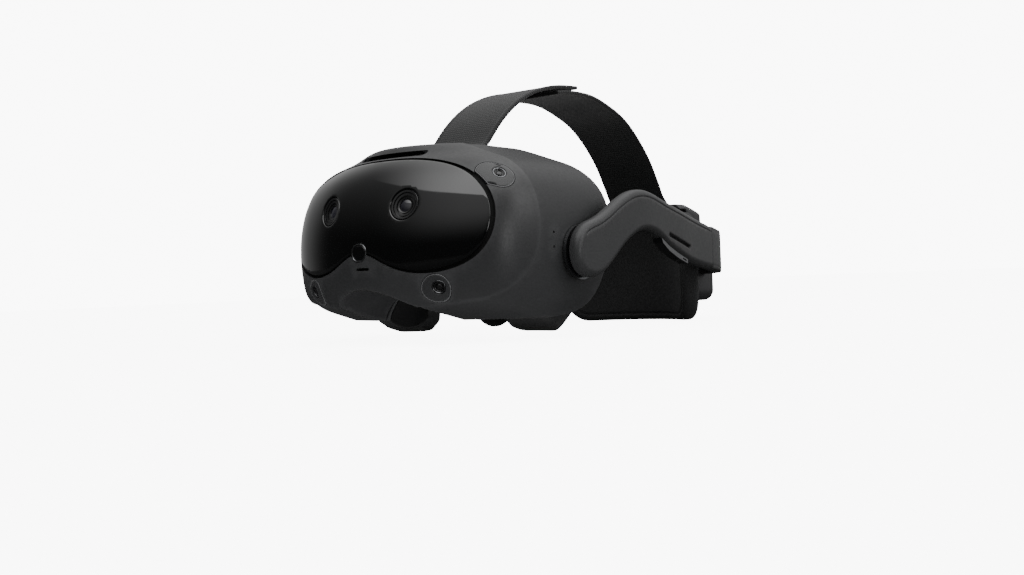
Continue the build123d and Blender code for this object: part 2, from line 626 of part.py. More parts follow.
with BuildPart() as speaker_duct_left:
    add(run_x([(191.0, 64.2), (204.0, 58.9), (222.0, 53.6), (241.0, 49.2), (241.0, 46.2), (222.0, 50.2), (205.0, 55.2), (193.0, 60.8)], 60, 120, spline=False))
    add(band_prism(0.6, ARM_T - 0.6), mode=Mode.INTERSECT)
    add(side_prism(0.02), mode=Mode.SUBTRACT)
    add(run_x([(198.5, 60.4), (222.0, 52.6), (238.0, 48.8), (238.0, 47.8), (222.0, 51.4), (200.0, 58.6)], 60, 92, spline=False), mode=Mode.SUBTRACT)
with BuildPart() as speaker_duct_right:
    add(mirrored(speaker_duct_left.part))
with BuildPart() as fit_rack_left:
    add(block(63.6, 66.0, 262, 323, 51.5, 67.5))
    add(block(65.0, 84.0, 264, 281, 53.0, 66.0))
    add(band_prism(-20, ARM_T + 0.02), mode=Mode.SUBTRACT)
    for k in range(10):
        add(block(60, 64.6, 288.0 + 3.2 * k, 289.6 + 3.2 * k, 53.5, 65.5), mode=Mode.SUBTRACT)
with BuildPart() as fit_rack_right:
    add(mirrored(fit_rack_left.part))

# ---------------------------------------------------------------- rear cradle
REAR_TOP = [(SEAM_Y + 0.4, 74.9), (310, 73.2), (322, 72.2), (340, 72.0), (362, 72.0)]
REAR_LOW = [(362, 38.0), (340, 38.2), (322, 39.4), (310, 40.6), (SEAM_Y + 0.4, 41.8)]
with BuildPart() as band_side:
    with BuildSketch(Plane.YZ.offset(-120)):
        with BuildLine():
            t = Spline(*REAR_TOP)
            b = Spline(*REAR_LOW)
            Line(t @ 1, b @ 0)
            Line(b @ 1, t @ 0)
        make_face()
    extrude(amount=240)
BAND_BOTH = BAND_FULL + mirrored(BAND_FULL)
LOWER_BLOCK = block(-42, 42, 322, 367, 16, 51, 9)
UPPER_BLOCK = block(-42, 42, 316, 349.6, 50, 95.5, 6)
SLEEVE = block(61.4, 70.0, 284, 322, 49.4, 69.6)
RACK_SPACE = block(63.2, 66.4, 280, 326, 51.1, 67.9)
with BuildPart() as cradle_shell:
    add(band_side.part)
    add(BAND_BOTH, mode=Mode.INTERSECT)
    add(SLEEVE)
    add(mirrored(SLEEVE))
    add(LOWER_BLOCK)
    add(UPPER_BLOCK)
    add(oval_z(97.2, 126.2, -5, 91.0) - SLEEVE - mirrored(SLEEVE), mode=Mode.SUBTRACT)
    add(RACK_SPACE, mode=Mode.SUBTRACT)
    add(mirrored(RACK_SPACE), mode=Mode.SUBTRACT)
    # dial recess, shaft bore and drive pocket
    add(rod_y(0, DIAL_Z, 15.6, 359.6, 370), mode=Mode.SUBTRACT)
    add(rod_y(0, DIAL_Z, 4.0, 330, 361), mode=Mode.SUBTRACT)
    add(block(-30, 30, 330, 352, 21, 45, 4), mode=Mode.SUBTRACT)
    # upper hollow behind the strap anchor
    add(block(-36, 36, 330, 347, 56, 88, 4), mode=Mode.SUBTRACT)
    # bay of the battery
    add(block(-41.0, 41.0, 349.8, 380, 51.2, 75.4, 5.4), mode=Mode.SUBTRACT)
    # latch well in the top
    add(block(-10.3, 10.3, 341.7, 348.3, 88.5, 100), mode=Mode.SUBTRACT)
    # slot for the end of the top strap
    add(block(-27.0, 27.0, 321.0, 326.0, 90, 100), mode=Mode.SUBTRACT)
with BuildPart() as cradle_cover:
    add(block(-41.5, 41.5, 300, 350, 18.5, 88.5, 6))
    add(oval_z(98.9, 127.9, -5, 190), mode=Mode.INTERSECT)
    add(oval_z(97.4, 126.4, -5, 190), mode=Mode.SUBTRACT)
    add(block(-41.5, 41.5, 320, 350, 0, 100), mode=Mode.INTERSECT)
with BuildPart() as rear_cradle:
    add(cradle_shell.part)
    add(cradle_cover.part, mode=Mode.SUBTRACT)

with BuildPart() as fit_dial:
    add(rod_y(0, DIAL_Z, 15.2, 360.0, 371.4))
    fillet(edges().filter_by(GeomType.CIRCLE).sort_by(Axis.Y)[-1], 1.6)
    for k in range(24):
        a = math.radians(15 * k)
        add(rod_y(15.7 * math.cos(a), DIAL_Z + 15.7 * math.sin(a), 1.1, 361.5, 372), mode=Mode.SUBTRACT)
    add(rod_y(0, DIAL_Z, 3.95, 346.0, 360.0))
with BuildPart() as fit_pinion:
    add(rod_y(0, DIAL_Z, 7.8, 346.0, 350.5))
    for k in range(12):
        a = math.radians(30 * k)
        add(rod_y(8.2 * math.cos(a), DIAL_Z + 8.2 * math.sin(a), 1.2, 340, 352), mode=Mode.SUBTRACT)
    add(rod_y(0, DIAL_Z, 3.95, 340, 352), mode=Mode.SUBTRACT)
with BuildPart() as battery_pack:
    add(block(-40.6, 40.6, 350.2, 371.0, 51.6, 75.0, 5))
    fillet(edges().group_by(Axis.Y)[-1], 3.5)
with BuildPart() as battery_latch:
    add(block(-10.0, 10.0, 342.0, 348.0, 92.0, 97.2))
    fillet(edges().group_by(Axis.Z)[-1], 1.2)

# ---------------------------------------------------------------- rear pad
with BuildPart() as rear_pad:
    add(oval_z(94.2, 123.2, 2.0, 88.0))
    add(oval_z(80.0, 108.0, 0, 100), mode=Mode.SUBTRACT)
    add(block(-60, 60, 270, 345, 2.0, 88.0, 22), mode=Mode.INTERSECT)
with BuildPart() as rear_pad_base:
    add(oval_z(96.6, 125.6, 10.0, 82.0))
    add(oval_z(94.3, 123.3, 0, 100), mode=Mode.SUBTRACT)
    add(block(-52, 52, 270, 345, 10.0, 82.0, 16), mode=Mode.INTERSECT)

# ---------------------------------------------------------------- top strap
STRAP_FRONT = [(99.5, 134.0), (106, 142.0), (114, 150.4), (130, 162.0), (145, 169.4), (160, 174.4), (181, 178.4), (201, 179.6)]
STRAP_REAR = [(176.0, 173.6), (188, 175.0), (202, 175.6), (222, 174.6), (244, 169.0), (262, 162.0), (277, 152.4), (291, 140.2), (301, 129.0), (309, 117.0), (314.6, 106.0), (317.4, 99.4)]


def ribbon(points):
    """A flat strap of the standard width whose top face follows points in YZ."""
    top = points
    low = grow(points, STRAP_T, closed=False)
    with BuildPart() as p:
        with BuildSketch(Plane.YZ.offset(-STRAP_W / 2)):
            with BuildLine():
                a = Spline(*top)
                b = Spline(*reversed(low))
                Line(a @ 1, b @ 0)
                Line(b @ 1, a @ 0)
            make_face()
        extrude(amount=STRAP_W)
    return p.part


with BuildPart() as strap_front:
    add(ribbon(STRAP_FRONT))
with BuildPart() as strap_rear:
    add(ribbon(STRAP_REAR))
with BuildPart() as strap_anchor_front:
    add(block(-28.8, 28.8, 76.2, 85.8, 117.8, 126.4))
    add(block(-26.6, 26.6, 79.0, 83.6, 119.6, 130), mode=Mode.SUBTRACT)
    fillet(edges().filter_by(Axis.Z).group_by(Axis.X)[0] + edges().filter_by(Axis.Z).group_by(Axis.X)[-1], 2.0)

# ---------------------------------------------------------------- screws
with BuildPart() as board_screws:
    for sx, sz in [(54, 54), (-54, 54), (54, 98), (-54, 98)]:
        add(rod_y(sx, sz, 2.4, 29.4, 31.0))

NODES = {
    "front_shield": front_shield, "front_housing": front_housing, "rear_housing": rear_housing,
    "colour_camera_left": colour_camera_left, "colour_camera_right": colour_camera_right,
    "colour_lenses": colour_lenses, "depth_window": depth_window,
    "upper_camera_cover_left": upper_camera_cover_left, "upper_camera_cover_right": upper_camera_cover_right,
    "lower_camera_cover_left": lower_camera_cover_left, "lower_camera_cover_right": lower_camera_cover_right,
    "tracking_lenses": tracking_lenses, "vent_grille": vent_grille, "inner_cover": inner_cover, "guide_rods": guide_rods,
    "lead_screw": lead_screw, "ipd_motor": ipd_motor, "lens_barrel_left": lens_barrel_left,
    "lens_barrel_right": lens_barrel_right, "lens_left": lens_left, "lens_right": lens_right,
    "display_left": display_left, "display_right": display_right, "main_board": main_board, "heat_sink": heat_sink,
    "fan_housing": fan_housing, "fan_rotor": fan_rotor, "nose_cover": nose_cover, "power_key": power_key,
    "volume_key": volume_key, "usb_socket": usb_socket, "headphone_socket": headphone_socket,
    "pivot_pin_left": pivot_pin_left, "pivot_pin_right": pivot_pin_right, "pivot_rings": pivot_rings, "face_cushion": face_cushion, "face_cushion_frame": face_cushion_frame,
    "nose_flap": nose_flap, "arm_left": arm_left, "arm_right": arm_right, "arm_cover_left": arm_cover_left,
    "arm_cover_right": arm_cover_right, "speaker_left": speaker_left, "speaker_right": speaker_right,
    "speaker_duct_left": speaker_duct_left, "speaker_duct_right": speaker_duct_right, "fit_rack_left": fit_rack_left,
    "fit_rack_right": fit_rack_right, "rear_cradle": rear_cradle, "cradle_cover": cradle_cover, "fit_dial": fit_dial,
    "fit_pinion": fit_pinion, "battery_pack": battery_pack, "battery_latch": battery_latch, "rear_pad": rear_pad,
    "rear_pad_base": rear_pad_base, "strap_front": strap_front, "strap_rear": strap_rear,
    "strap_anchor_front": strap_anchor_front, "board_screws": board_screws,
}
print(len(NODES), "nodes")
for node_name, node_builder in NODES.items():
    solids = node_builder.part.solids()
    if len(solids) > 1:
        for piece in solids:
            box = piece.bounding_box()
            print(node_name, "solid", round(piece.volume, 2), [round(v, 1) for v in (box.min.X, box.max.X, box.min.Y, box.max.Y, box.min.Z, box.max.Z)])
for node_name, node_builder in NODES.items():
    write(node_builder, node_name)
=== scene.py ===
import json
import math

import bpy
import numpy as np
from mathutils import Matrix, Vector
from mathutils.geometry import delaunay_2d_cdt


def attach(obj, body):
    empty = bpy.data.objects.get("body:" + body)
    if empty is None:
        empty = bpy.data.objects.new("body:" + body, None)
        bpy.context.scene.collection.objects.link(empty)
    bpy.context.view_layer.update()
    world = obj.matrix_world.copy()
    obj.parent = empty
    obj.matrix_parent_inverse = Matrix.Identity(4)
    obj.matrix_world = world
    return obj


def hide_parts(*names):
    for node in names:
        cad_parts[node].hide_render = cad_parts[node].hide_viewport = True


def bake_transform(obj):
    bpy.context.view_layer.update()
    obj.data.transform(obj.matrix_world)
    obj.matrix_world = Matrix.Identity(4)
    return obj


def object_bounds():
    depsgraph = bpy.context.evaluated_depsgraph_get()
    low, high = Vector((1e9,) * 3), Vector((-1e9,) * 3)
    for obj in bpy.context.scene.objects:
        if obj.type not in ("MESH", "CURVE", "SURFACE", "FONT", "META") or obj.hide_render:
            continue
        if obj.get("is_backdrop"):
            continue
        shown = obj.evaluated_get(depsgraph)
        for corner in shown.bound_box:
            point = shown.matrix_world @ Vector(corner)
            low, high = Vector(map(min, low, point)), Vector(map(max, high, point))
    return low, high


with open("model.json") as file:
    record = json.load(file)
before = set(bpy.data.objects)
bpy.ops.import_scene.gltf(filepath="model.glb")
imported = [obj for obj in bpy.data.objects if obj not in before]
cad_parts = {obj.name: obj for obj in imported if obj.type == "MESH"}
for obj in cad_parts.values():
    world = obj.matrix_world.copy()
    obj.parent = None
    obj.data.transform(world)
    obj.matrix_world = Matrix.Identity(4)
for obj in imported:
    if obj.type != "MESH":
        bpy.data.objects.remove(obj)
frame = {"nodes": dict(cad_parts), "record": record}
CAD_LO, CAD_HI = (Vector(v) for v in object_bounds())

YM, ZR = 184.7, 2.0          # the drawing origin, mm, seen from the row frame's origin
NODES = frame["nodes"]


def to_row(a):
    a = np.asarray(a, float)
    return (a - np.array([0.0, YM, ZR])) / 1000.0


# ================================================================ materials
def _nodes(name):
    m = bpy.data.materials.new(name)
    m.use_nodes = True
    nt = m.node_tree
    nt.nodes.clear()
    out = nt.nodes.new("ShaderNodeOutputMaterial")
    b = nt.nodes.new("ShaderNodeBsdfPrincipled")
    nt.links.new(b.outputs[0], out.inputs[0])
    tc = nt.nodes.new("ShaderNodeTexCoord")
    return m, nt, b, tc.outputs["Object"]


def _noise(nt, co, scale, detail=4.0, rough=0.55, distort=0.0):
    n = nt.nodes.new("ShaderNodeTexNoise")
    n.inputs["Scale"].default_value = scale
    n.inputs["Detail"].default_value = detail
    n.inputs["Roughness"].default_value = rough
    n.inputs["Distortion"].default_value = distort
    nt.links.new(co, n.inputs["Vector"])
    return n.outputs["Fac"]


def _ramp(nt, fac, stops):
    r = nt.nodes.new("ShaderNodeValToRGB")
    el = r.color_ramp.elements
    while len(el) < len(stops):
        el.new(0.5)
    for e, (p, c) in zip(el, stops):
        e.position = p
        e.color = c if len(c) == 4 else (*c, 1)
    nt.links.new(fac, r.inputs[0])
    return r.outputs[0]


def _bump(nt, height, strength, dist, prev=None):
    b = nt.nodes.new("ShaderNodeBump")
    b.inputs["Strength"].default_value = strength
    b.inputs["Distance"].default_value = dist
    nt.links.new(height, b.inputs["Height"])
    if prev is not None:
        nt.links.new(prev, b.inputs["Normal"])
    return b.outputs["Normal"]


def _mix(nt, fac, a, b, mode="MIX"):
    m = nt.nodes.new("ShaderNodeMix")
    m.data_type = "RGBA"
    m.blend_type = mode
    for sock, v in ((m.inputs[0], fac), (m.inputs[6], a), (m.inputs[7], b)):
        if isinstance(v, (int, float)):
            sock.default_value = v
        elif isinstance(v, (tuple, list)):
            sock.default_value = (*v[:3], 1)
        else:
            nt.links.new(v, sock)
    return m.outputs[2]


def _scaled(nt, co, sx, sy, sz):
    m = nt.nodes.new("ShaderNodeMapping")
    m.inputs["Scale"].default_value = (sx, sy, sz)
    nt.links.new(co, m.inputs["Vector"])
    return m.outputs[0]


def grey(v):
    return (v, v, v * 1.02)


def plastic(name, base, rough=0.45, grain=2600.0, bump=0.10, spec=0.5, coat=0.0, wear=0.25):
    """Moulded plastic: spark-eroded grain, slow colour and gloss drift, paler rubbed edges."""
    m, nt, b, co = _nodes(name)
    slow = _noise(nt, co, 14.0, 3.0)
    fine = _noise(nt, co, grain, 2.0, 0.6)
    lo, hi = tuple(c * 0.90 for c in base), tuple(c * 1.10 for c in base)
    col = _ramp(nt, slow, [(0.3, lo), (0.7, hi)])
    geo = nt.nodes.new("ShaderNodeNewGeometry")
    edge = _ramp(nt, geo.outputs["Pointiness"], [(0.51, (0, 0, 0)), (0.60, (wear, wear, wear))])
    col = _mix(nt, edge, col, tuple(min(1.0, c * 2.2 + 0.01) for c in base))
    nt.links.new(col, b.inputs["Base Color"])
    speck = _noise(nt, co, 420.0, 3.0)
    r = _ramp(nt, speck, [(0.25, grey(max(0.02, rough - 0.05))), (0.75, grey(rough + 0.06))])
    nt.links.new(r, b.inputs["Roughness"])
    b.inputs["Specular IOR Level"].default_value = spec
    b.inputs["Coat Weight"].default_value = coat
    b.inputs["Coat Roughness"].default_value = 0.12
    nt.links.new(_bump(nt, fine, bump, 0.00008), b.inputs["Normal"])
    return m


def gloss(name, base, rough=0.04, coat=1.0, smudge=0.05, spec=0.6):
    """Polished hard-coated plastic with faint handling marks and dust in its gloss."""
    m, nt, b, co = _nodes(name)
    slow = _noise(nt, co, 30.0, 5.0, 0.6, 0.4)
    col = _ramp(nt, slow, [(0.35, tuple(c * 0.85 for c in base)), (0.7, tuple(c * 1.2 for c in base))])
    nt.links.new(col, b.inputs["Base Color"])
    r = _ramp(nt, _noise(nt, co, 55.0, 6.0, 0.65, 1.2), [(0.42, grey(rough)), (0.80, grey(rough + smudge))])
    nt.links.new(r, b.inputs["Roughness"])
    b.inputs["Specular IOR Level"].default_value = spec
    b.inputs["Coat Weight"].default_value = coat
    b.inputs["Coat Roughness"].default_value = 0.02
    wav = _noise(nt, co, 18.0, 1.0)
    nt.links.new(_bump(nt, wav, 0.02, 0.0004), b.inputs["Normal"])
    return m


def knit(name, base, pitch=1150.0, rough=0.92, bump=0.35):
    """Fine warp-knit cover: staggered loops, fuzz and a soft sheen."""
    m, nt, b, co = _nodes(name)
    v = nt.nodes.new("ShaderNodeTexVoronoi")
    v.inputs["Scale"].default_value = pitch
    v.inputs["Randomness"].default_value = 0.95
    nt.links.new(_scaled(nt, co, 1.0, 1.0, 0.9), v.inputs["Vector"])
    fuzz = _noise(nt, co, 2400.0, 3.0)
    slow = _noise(nt, co, 22.0, 3.0)
    loops = _ramp(nt, v.outputs["Distance"], [(0.05, tuple(c * 1.3 for c in base)), (0.65, tuple(c * 0.75 for c in base))])
    col = _mix(nt, slow, loops, tuple(c * 1.25 for c in base), "OVERLAY")
    nt.links.new(loops if col is None else _mix(nt, 0.35, loops, col), b.inputs["Base Color"])
    nt.links.new(_ramp(nt, fuzz, [(0.2, grey(rough - 0.08)), (0.8, grey(min(1.0, rough + 0.06)))]), b.inputs["Roughness"])
    b.inputs["Specular IOR Level"].default_value = 0.25
    b.inputs["Sheen Weight"].default_value = 0.10
    b.inputs["Sheen Roughness"].default_value = 0.45
    n1 = _bump(nt, v.outputs["Distance"], bump, 0.0003)
    nt.links.new(_bump(nt, fuzz, 0.25, 0.0001, n1), b.inputs["Normal"])
    return m


def webbing(name, base, rib=0.0016, rough=0.85):
    """Woven elastic: ribs across the strap, yarns along it, slight colour change from yarn to yarn."""
    m, nt, b, co = _nodes(name)
    uv = nt.nodes.new("ShaderNodeUVMap")
    uv.uv_map = "weave"

    def wave(direction, scale):
        w = nt.nodes.new("ShaderNodeTexWave")
        w.bands_direction = direction
        w.wave_profile = "SIN"
        w.inputs["Scale"].default_value = scale
        w.inputs["Distortion"].default_value = 0.25
        w.inputs["Detail"].default_value = 1.0
        w.inputs["Detail Scale"].default_value = 2.0
        nt.links.new(uv.outputs[0], w.inputs["Vector"])
        return w.outputs["Fac"]

    along, across = wave("X", 1.0 / rib / 6.283 * 1.0), wave("Y", 1.0 / rib / 6.283 * 0.8)
    mul = nt.nodes.new("ShaderNodeMath")
    mul.operation = "MULTIPLY"
    nt.links.new(along, mul.inputs[0])
    nt.links.new(across, mul.inputs[1])
    yarn = _noise(nt, co, 900.0, 3.0)
    col = _ramp(nt, mul.outputs[0], [(0.0, tuple(c * 0.45 for c in base)), (0.75, tuple(c * 1.5 for c in base))])
    col = _mix(nt, 0.3, col, _ramp(nt, yarn, [(0.3, tuple(c * 0.6 for c in base)), (0.7, tuple(c * 1.5 for c in base))]))
    nt.links.new(col, b.inputs["Base Color"])
    nt.links.new(_ramp(nt, yarn, [(0.2, grey(rough - 0.1)), (0.8, grey(rough + 0.08))]), b.inputs["Roughness"])
    b.inputs["Specular IOR Level"].default_value = 0.3
    b.inputs["Sheen Weight"].default_value = 0.3
    n1 = _bump(nt, mul.outputs[0], 0.55, 0.00035)
    nt.links.new(_bump(nt, yarn, 0.2, 0.0001, n1), b.inputs["Normal"])
    return m


def metal(name, base, rough=0.28, streak=(1, 1, 40)):
    m, nt, b, co = _nodes(name)
    s = _noise(nt, _scaled(nt, co, *streak), 160.0, 4.0)
    nt.links.new(_ramp(nt, s, [(0.3, tuple(c * 0.85 for c in base)), (0.7, tuple(min(1, c * 1.1) for c in base))]), b.inputs["Base Color"])
    nt.links.new(_ramp(nt, s, [(0.3, grey(rough - 0.07)), (0.7, grey(rough + 0.08))]), b.inputs["Roughness"])
    b.inputs["Metallic"].default_value = 1.0
    nt.links.new(_bump(nt, s, 0.06, 0.0001), b.inputs["Normal"])
    return m


def coated_glass(name, painted_reflection_tint):
    """Dark coated lens: the base colour follows the view angle, a painted coloured reflection of the coating that
    shifts towards the rim.
    """
    m, nt, b, co = _nodes(name)
    lw = nt.nodes.new("ShaderNodeLayerWeight")
    lw.inputs["Blend"].default_value = 0.35
    dust = _noise(nt, co, 260.0, 5.0)
    # painted reflection: the colour is set by the view angle, darkest face-on, bluish at middle angles, dark grey at
    # grazing angles
    col = _ramp(nt, lw.outputs["Facing"], [(0.0, tuple(c * 0.4 for c in painted_reflection_tint)), (0.5, painted_reflection_tint), (1.0, (0.02, 0.02, 0.03))])
    nt.links.new(_mix(nt, 0.06, col, _ramp(nt, dust, [(0.4, (0, 0, 0)), (0.8, (0.3, 0.3, 0.3))])), b.inputs["Base Color"])
    nt.links.new(_ramp(nt, dust, [(0.4, grey(0.02)), (0.9, grey(0.10))]), b.inputs["Roughness"])
    b.inputs["Specular IOR Level"].default_value = 0.9
    b.inputs["Coat Weight"].default_value = 1.0
    b.inputs["Coat Roughness"].default_value = 0.01
    return m


def circuit(name):
    m, nt, b, co = _nodes(name)
    br = nt.nodes.new("ShaderNodeTexBrick")
    br.inputs["Scale"].default_value = 240.0
    br.inputs["Color1"].default_value = (0.01, 0.07, 0.045, 1)
    br.inputs["Color2"].default_value = (0.012, 0.09, 0.055, 1)
    br.inputs["Mortar"].default_value = (0.03, 0.16, 0.10, 1)
    nt.links.new(_scaled(nt, co, 1, 1, 1), br.inputs["Vector"])
    nt.links.new(br.outputs["Color"], b.inputs["Base Color"])
    nt.links.new(_ramp(nt, _noise(nt, co, 300.0), [(0.3, grey(0.3)), (0.7, grey(0.5))]), b.inputs["Roughness"])
    nt.links.new(_bump(nt, br.outputs["Fac"], 0.2, 0.0001), b.inputs["Normal"])
    return m


MAT = {
    "shield": gloss("shield_gloss", (0.0018, 0.0019, 0.0021)),
    "front_plastic": plastic("front_satin", (0.033, 0.0335, 0.035), 0.36, 2400.0, 0.07, 0.5),
    "side_plastic": plastic("side_satin", (0.034, 0.0345, 0.036), 0.48, 1900.0, 0.14, 0.45),
    "camera_cover": plastic("pod_satin", (0.031, 0.0315, 0.033), 0.28, 2800.0, 0.05, 0.5, 0.15),
    # pod edge rings: a plastic about three times lighter than the pod covers, a painted highlight along each pod's edge
    "painted_highlight_edge": plastic("pod_rim_satin", (0.10, 0.101, 0.105), 0.32, 2800.0, 0.04, 0.6, 0.3),
    "camera_black": gloss("camera_black_gloss", (0.010, 0.010, 0.0105), 0.24, 0.5),
    "lens_glass": coated_glass("lens_coated", (0.020, 0.019, 0.032)),
    "window": gloss("window_gloss", (0.003, 0.003, 0.0035), 0.06, 1.0),
    "grille_black": plastic("grille_matte", (0.004, 0.004, 0.004), 0.75, 1800.0, 0.15, 0.3),
    "inner_plastic": plastic("inner_matte", (0.042, 0.0425, 0.044), 0.52, 1800.0, 0.12, 0.4),
    "steel": metal("ground_steel", (0.55, 0.55, 0.56), 0.25),
    "ring_metal": metal("dark_anodised", (0.30, 0.305, 0.315), 0.24),
    "alloy": metal("bare_alloy", (0.62, 0.63, 0.65), 0.38),
    "board": circuit("solder_mask"),
    "panel": gloss("display_glass", (0.003, 0.003, 0.004), 0.05, 1.0),
    "key_plastic": plastic("key_satin", (0.026, 0.026, 0.028), 0.42, 2200.0, 0.10),
    "arm_plastic": plastic("arm_soft_satin", (0.037, 0.0375, 0.039), 0.42, 2100.0, 0.09, 0.5),
    "speaker_metal": metal("speaker_polished", (0.17, 0.173, 0.18), 0.20),
    "rack_plastic": plastic("rack_nylon", (0.014, 0.014, 0.015), 0.55, 1500.0, 0.1),
    "cushion_fabric": knit("cushion_knit", (0.044, 0.0442, 0.0452)),
    "rubber": plastic("soft_rubber", (0.013, 0.013, 0.0135), 0.60, 1200.0, 0.2, 0.3),
    "strap_fabric": webbing("strap_woven", (0.016, 0.0163, 0.017), 0.0009),
    "battery_plastic": plastic("battery_satin", (0.029, 0.0295, 0.031), 0.46, 2000.0, 0.10),
}
SLOT_OF = {s["node"]: s["material_slot"] for s in frame["record"]["subparts"]}
for node, obj in NODES.items():
    slot = SLOT_OF[node]
    obj.data.materials.clear()
    obj.data.materials.append(MAT[slot])

# @@SHELLS@@
# ================================================================ shape tools
def natural(t, y):
    """Natural cubic spline through the rows (t, y)."""
    t = np.asarray(t, float)
    y = np.asarray(y, float)
    if y.ndim == 1:
        y = y[:, None]
    n = len(t)
    h = np.diff(t)
    a = np.zeros((n, n))
    r = np.zeros((n, y.shape[1]))
    a[0, 0] = a[-1, -1] = 1
    for i in range(1, n - 1):
        a[i, i - 1], a[i, i], a[i, i + 1] = h[i - 1], 2 * (h[i - 1] + h[i]), h[i]
        r[i] = 6 * ((y[i + 1] - y[i]) / h[i] - (y[i] - y[i - 1]) / h[i - 1])
    m = np.linalg.solve(a, r)

    def f(x):
        x = np.atleast_1d(np.asarray(x, float))
        i = np.clip(np.searchsorted(t, x) - 1, 0, n - 2)
        d0, d1, hh = (x - t[i])[:, None], (t[i + 1] - x)[:, None], h[i][:, None]
        return (m[i] * d1 ** 3 + m[i + 1] * d0 ** 3) / (6 * hh) + (y[i] / hh - m[i] * hh / 6) * d1 + (y[i + 1] / hh - m[i + 1] * hh / 6) * d0

    return f


def chords(p):
    p = np.asarray(p, float)
    return np.concatenate([[0], np.cumsum(np.linalg.norm(np.diff(p, axis=0), axis=1))])


def open_curve(pts, step):
    pts = np.asarray(pts, float)
    t = chords(pts)
    n = max(4, int(round(t[-1] / step)))
    return natural(t, pts)(np.linspace(0, t[-1], n + 1))


def closed_curve(pts, step):
    pts = np.asarray(pts, float)
    k = len(pts)
    tri = np.concatenate([pts, pts, pts, pts[:1]])
    t = chords(tri)
    n = max(12, int(round((t[2 * k] - t[k]) / step)))
    return natural(t, tri)(np.linspace(t[k], t[2 * k], n, endpoint=False))


def polyline(pts, step):
    """Straight runs between pts, divided by step; the last point is left to the next piece."""
    out = []
    for a, b in zip(pts[:-1], pts[1:]):
        a, b = np.asarray(a, float), np.asarray(b, float)
        n = max(1, int(round(np.linalg.norm(b - a) / step)))
        out += [a + (b - a) * i / n for i in range(n)]
    return np.array(out)


def area2(p):
    x, y = p[:, 0], p[:, 1]
    return 0.5 * float(np.sum(x * np.roll(y, -1) - np.roll(x, -1) * y))


def rounded_loop(x0, x1, z0, z1, r, step=0.8):
    pts = []
    for cx, cz, a0 in ((x1 - r, z0 + r, -90), (x1 - r, z1 - r, 0), (x0 + r, z1 - r, 90), (x0 + r, z0 + r, 180)):
        n = max(3, int(r * 1.57 / step))
        for i in range(n + 1):
            a = math.radians(a0 + 90 * i / n)
            pts.append((cx + r * math.cos(a), cz + r * math.sin(a)))
    pts = np.array(pts)
    out = []
    for a, b in zip(pts, np.roll(pts, -1, axis=0)):
        n = max(1, int(round(np.linalg.norm(b - a) / (step * 1.6))))
        out += [a + (b - a) * i / n for i in range(n) if np.linalg.norm(b - a) > 1e-6]
    return np.array(out)


def circle_loop(cx, cz, r, step=0.8):
    n = max(16, int(6.283 * r / step))
    a = np.linspace(0, 2 * np.pi, n, endpoint=False)
    return np.stack([cx + r * np.cos(a), cz + r * np.sin(a)], 1)


def inside(p, loop):
    x, y = p[:, 0][:, None], p[:, 1][:, None]
    x0, y0 = loop[:, 0][None], loop[:, 1][None]
    x1, y1 = np.roll(loop[:, 0], -1)[None], np.roll(loop[:, 1], -1)[None]
    cross = (y0 > y) != (y1 > y)
    with np.errstate(divide="ignore", invalid="ignore"):
        xi = x0 + (y - y0) * (x1 - x0) / (y1 - y0)
    return (np.sum(cross & (x < xi), axis=1) % 2) == 1


def dist_to(p, loop):
    a, b = loop, np.roll(loop, -1, axis=0)
    best = np.full(len(p), 1e9)
    ab = b - a
    l2 = np.maximum(np.sum(ab * ab, axis=1), 1e-12)
    for s in range(0, len(p), 4000):
        q = p[s:s + 4000]
        ap = q[:, None, :] - a[None]
        t = np.clip(np.sum(ap * ab[None], axis=2) / l2[None], 0, 1)
        d = np.linalg.norm(ap - t[..., None] * ab[None], axis=2)
        best[s:s + 4000] = d.min(1)
    return best


def inset(loop, d):
    """The loop moved to its left, which is into the material for the way fill() orients loops."""
    t = np.roll(loop, -1, axis=0) - np.roll(loop, 1, axis=0)
    t /= np.maximum(np.linalg.norm(t, axis=1, keepdims=True), 1e-9)
    return loop + d * np.stack([-t[:, 1], t[:, 0]], 1)


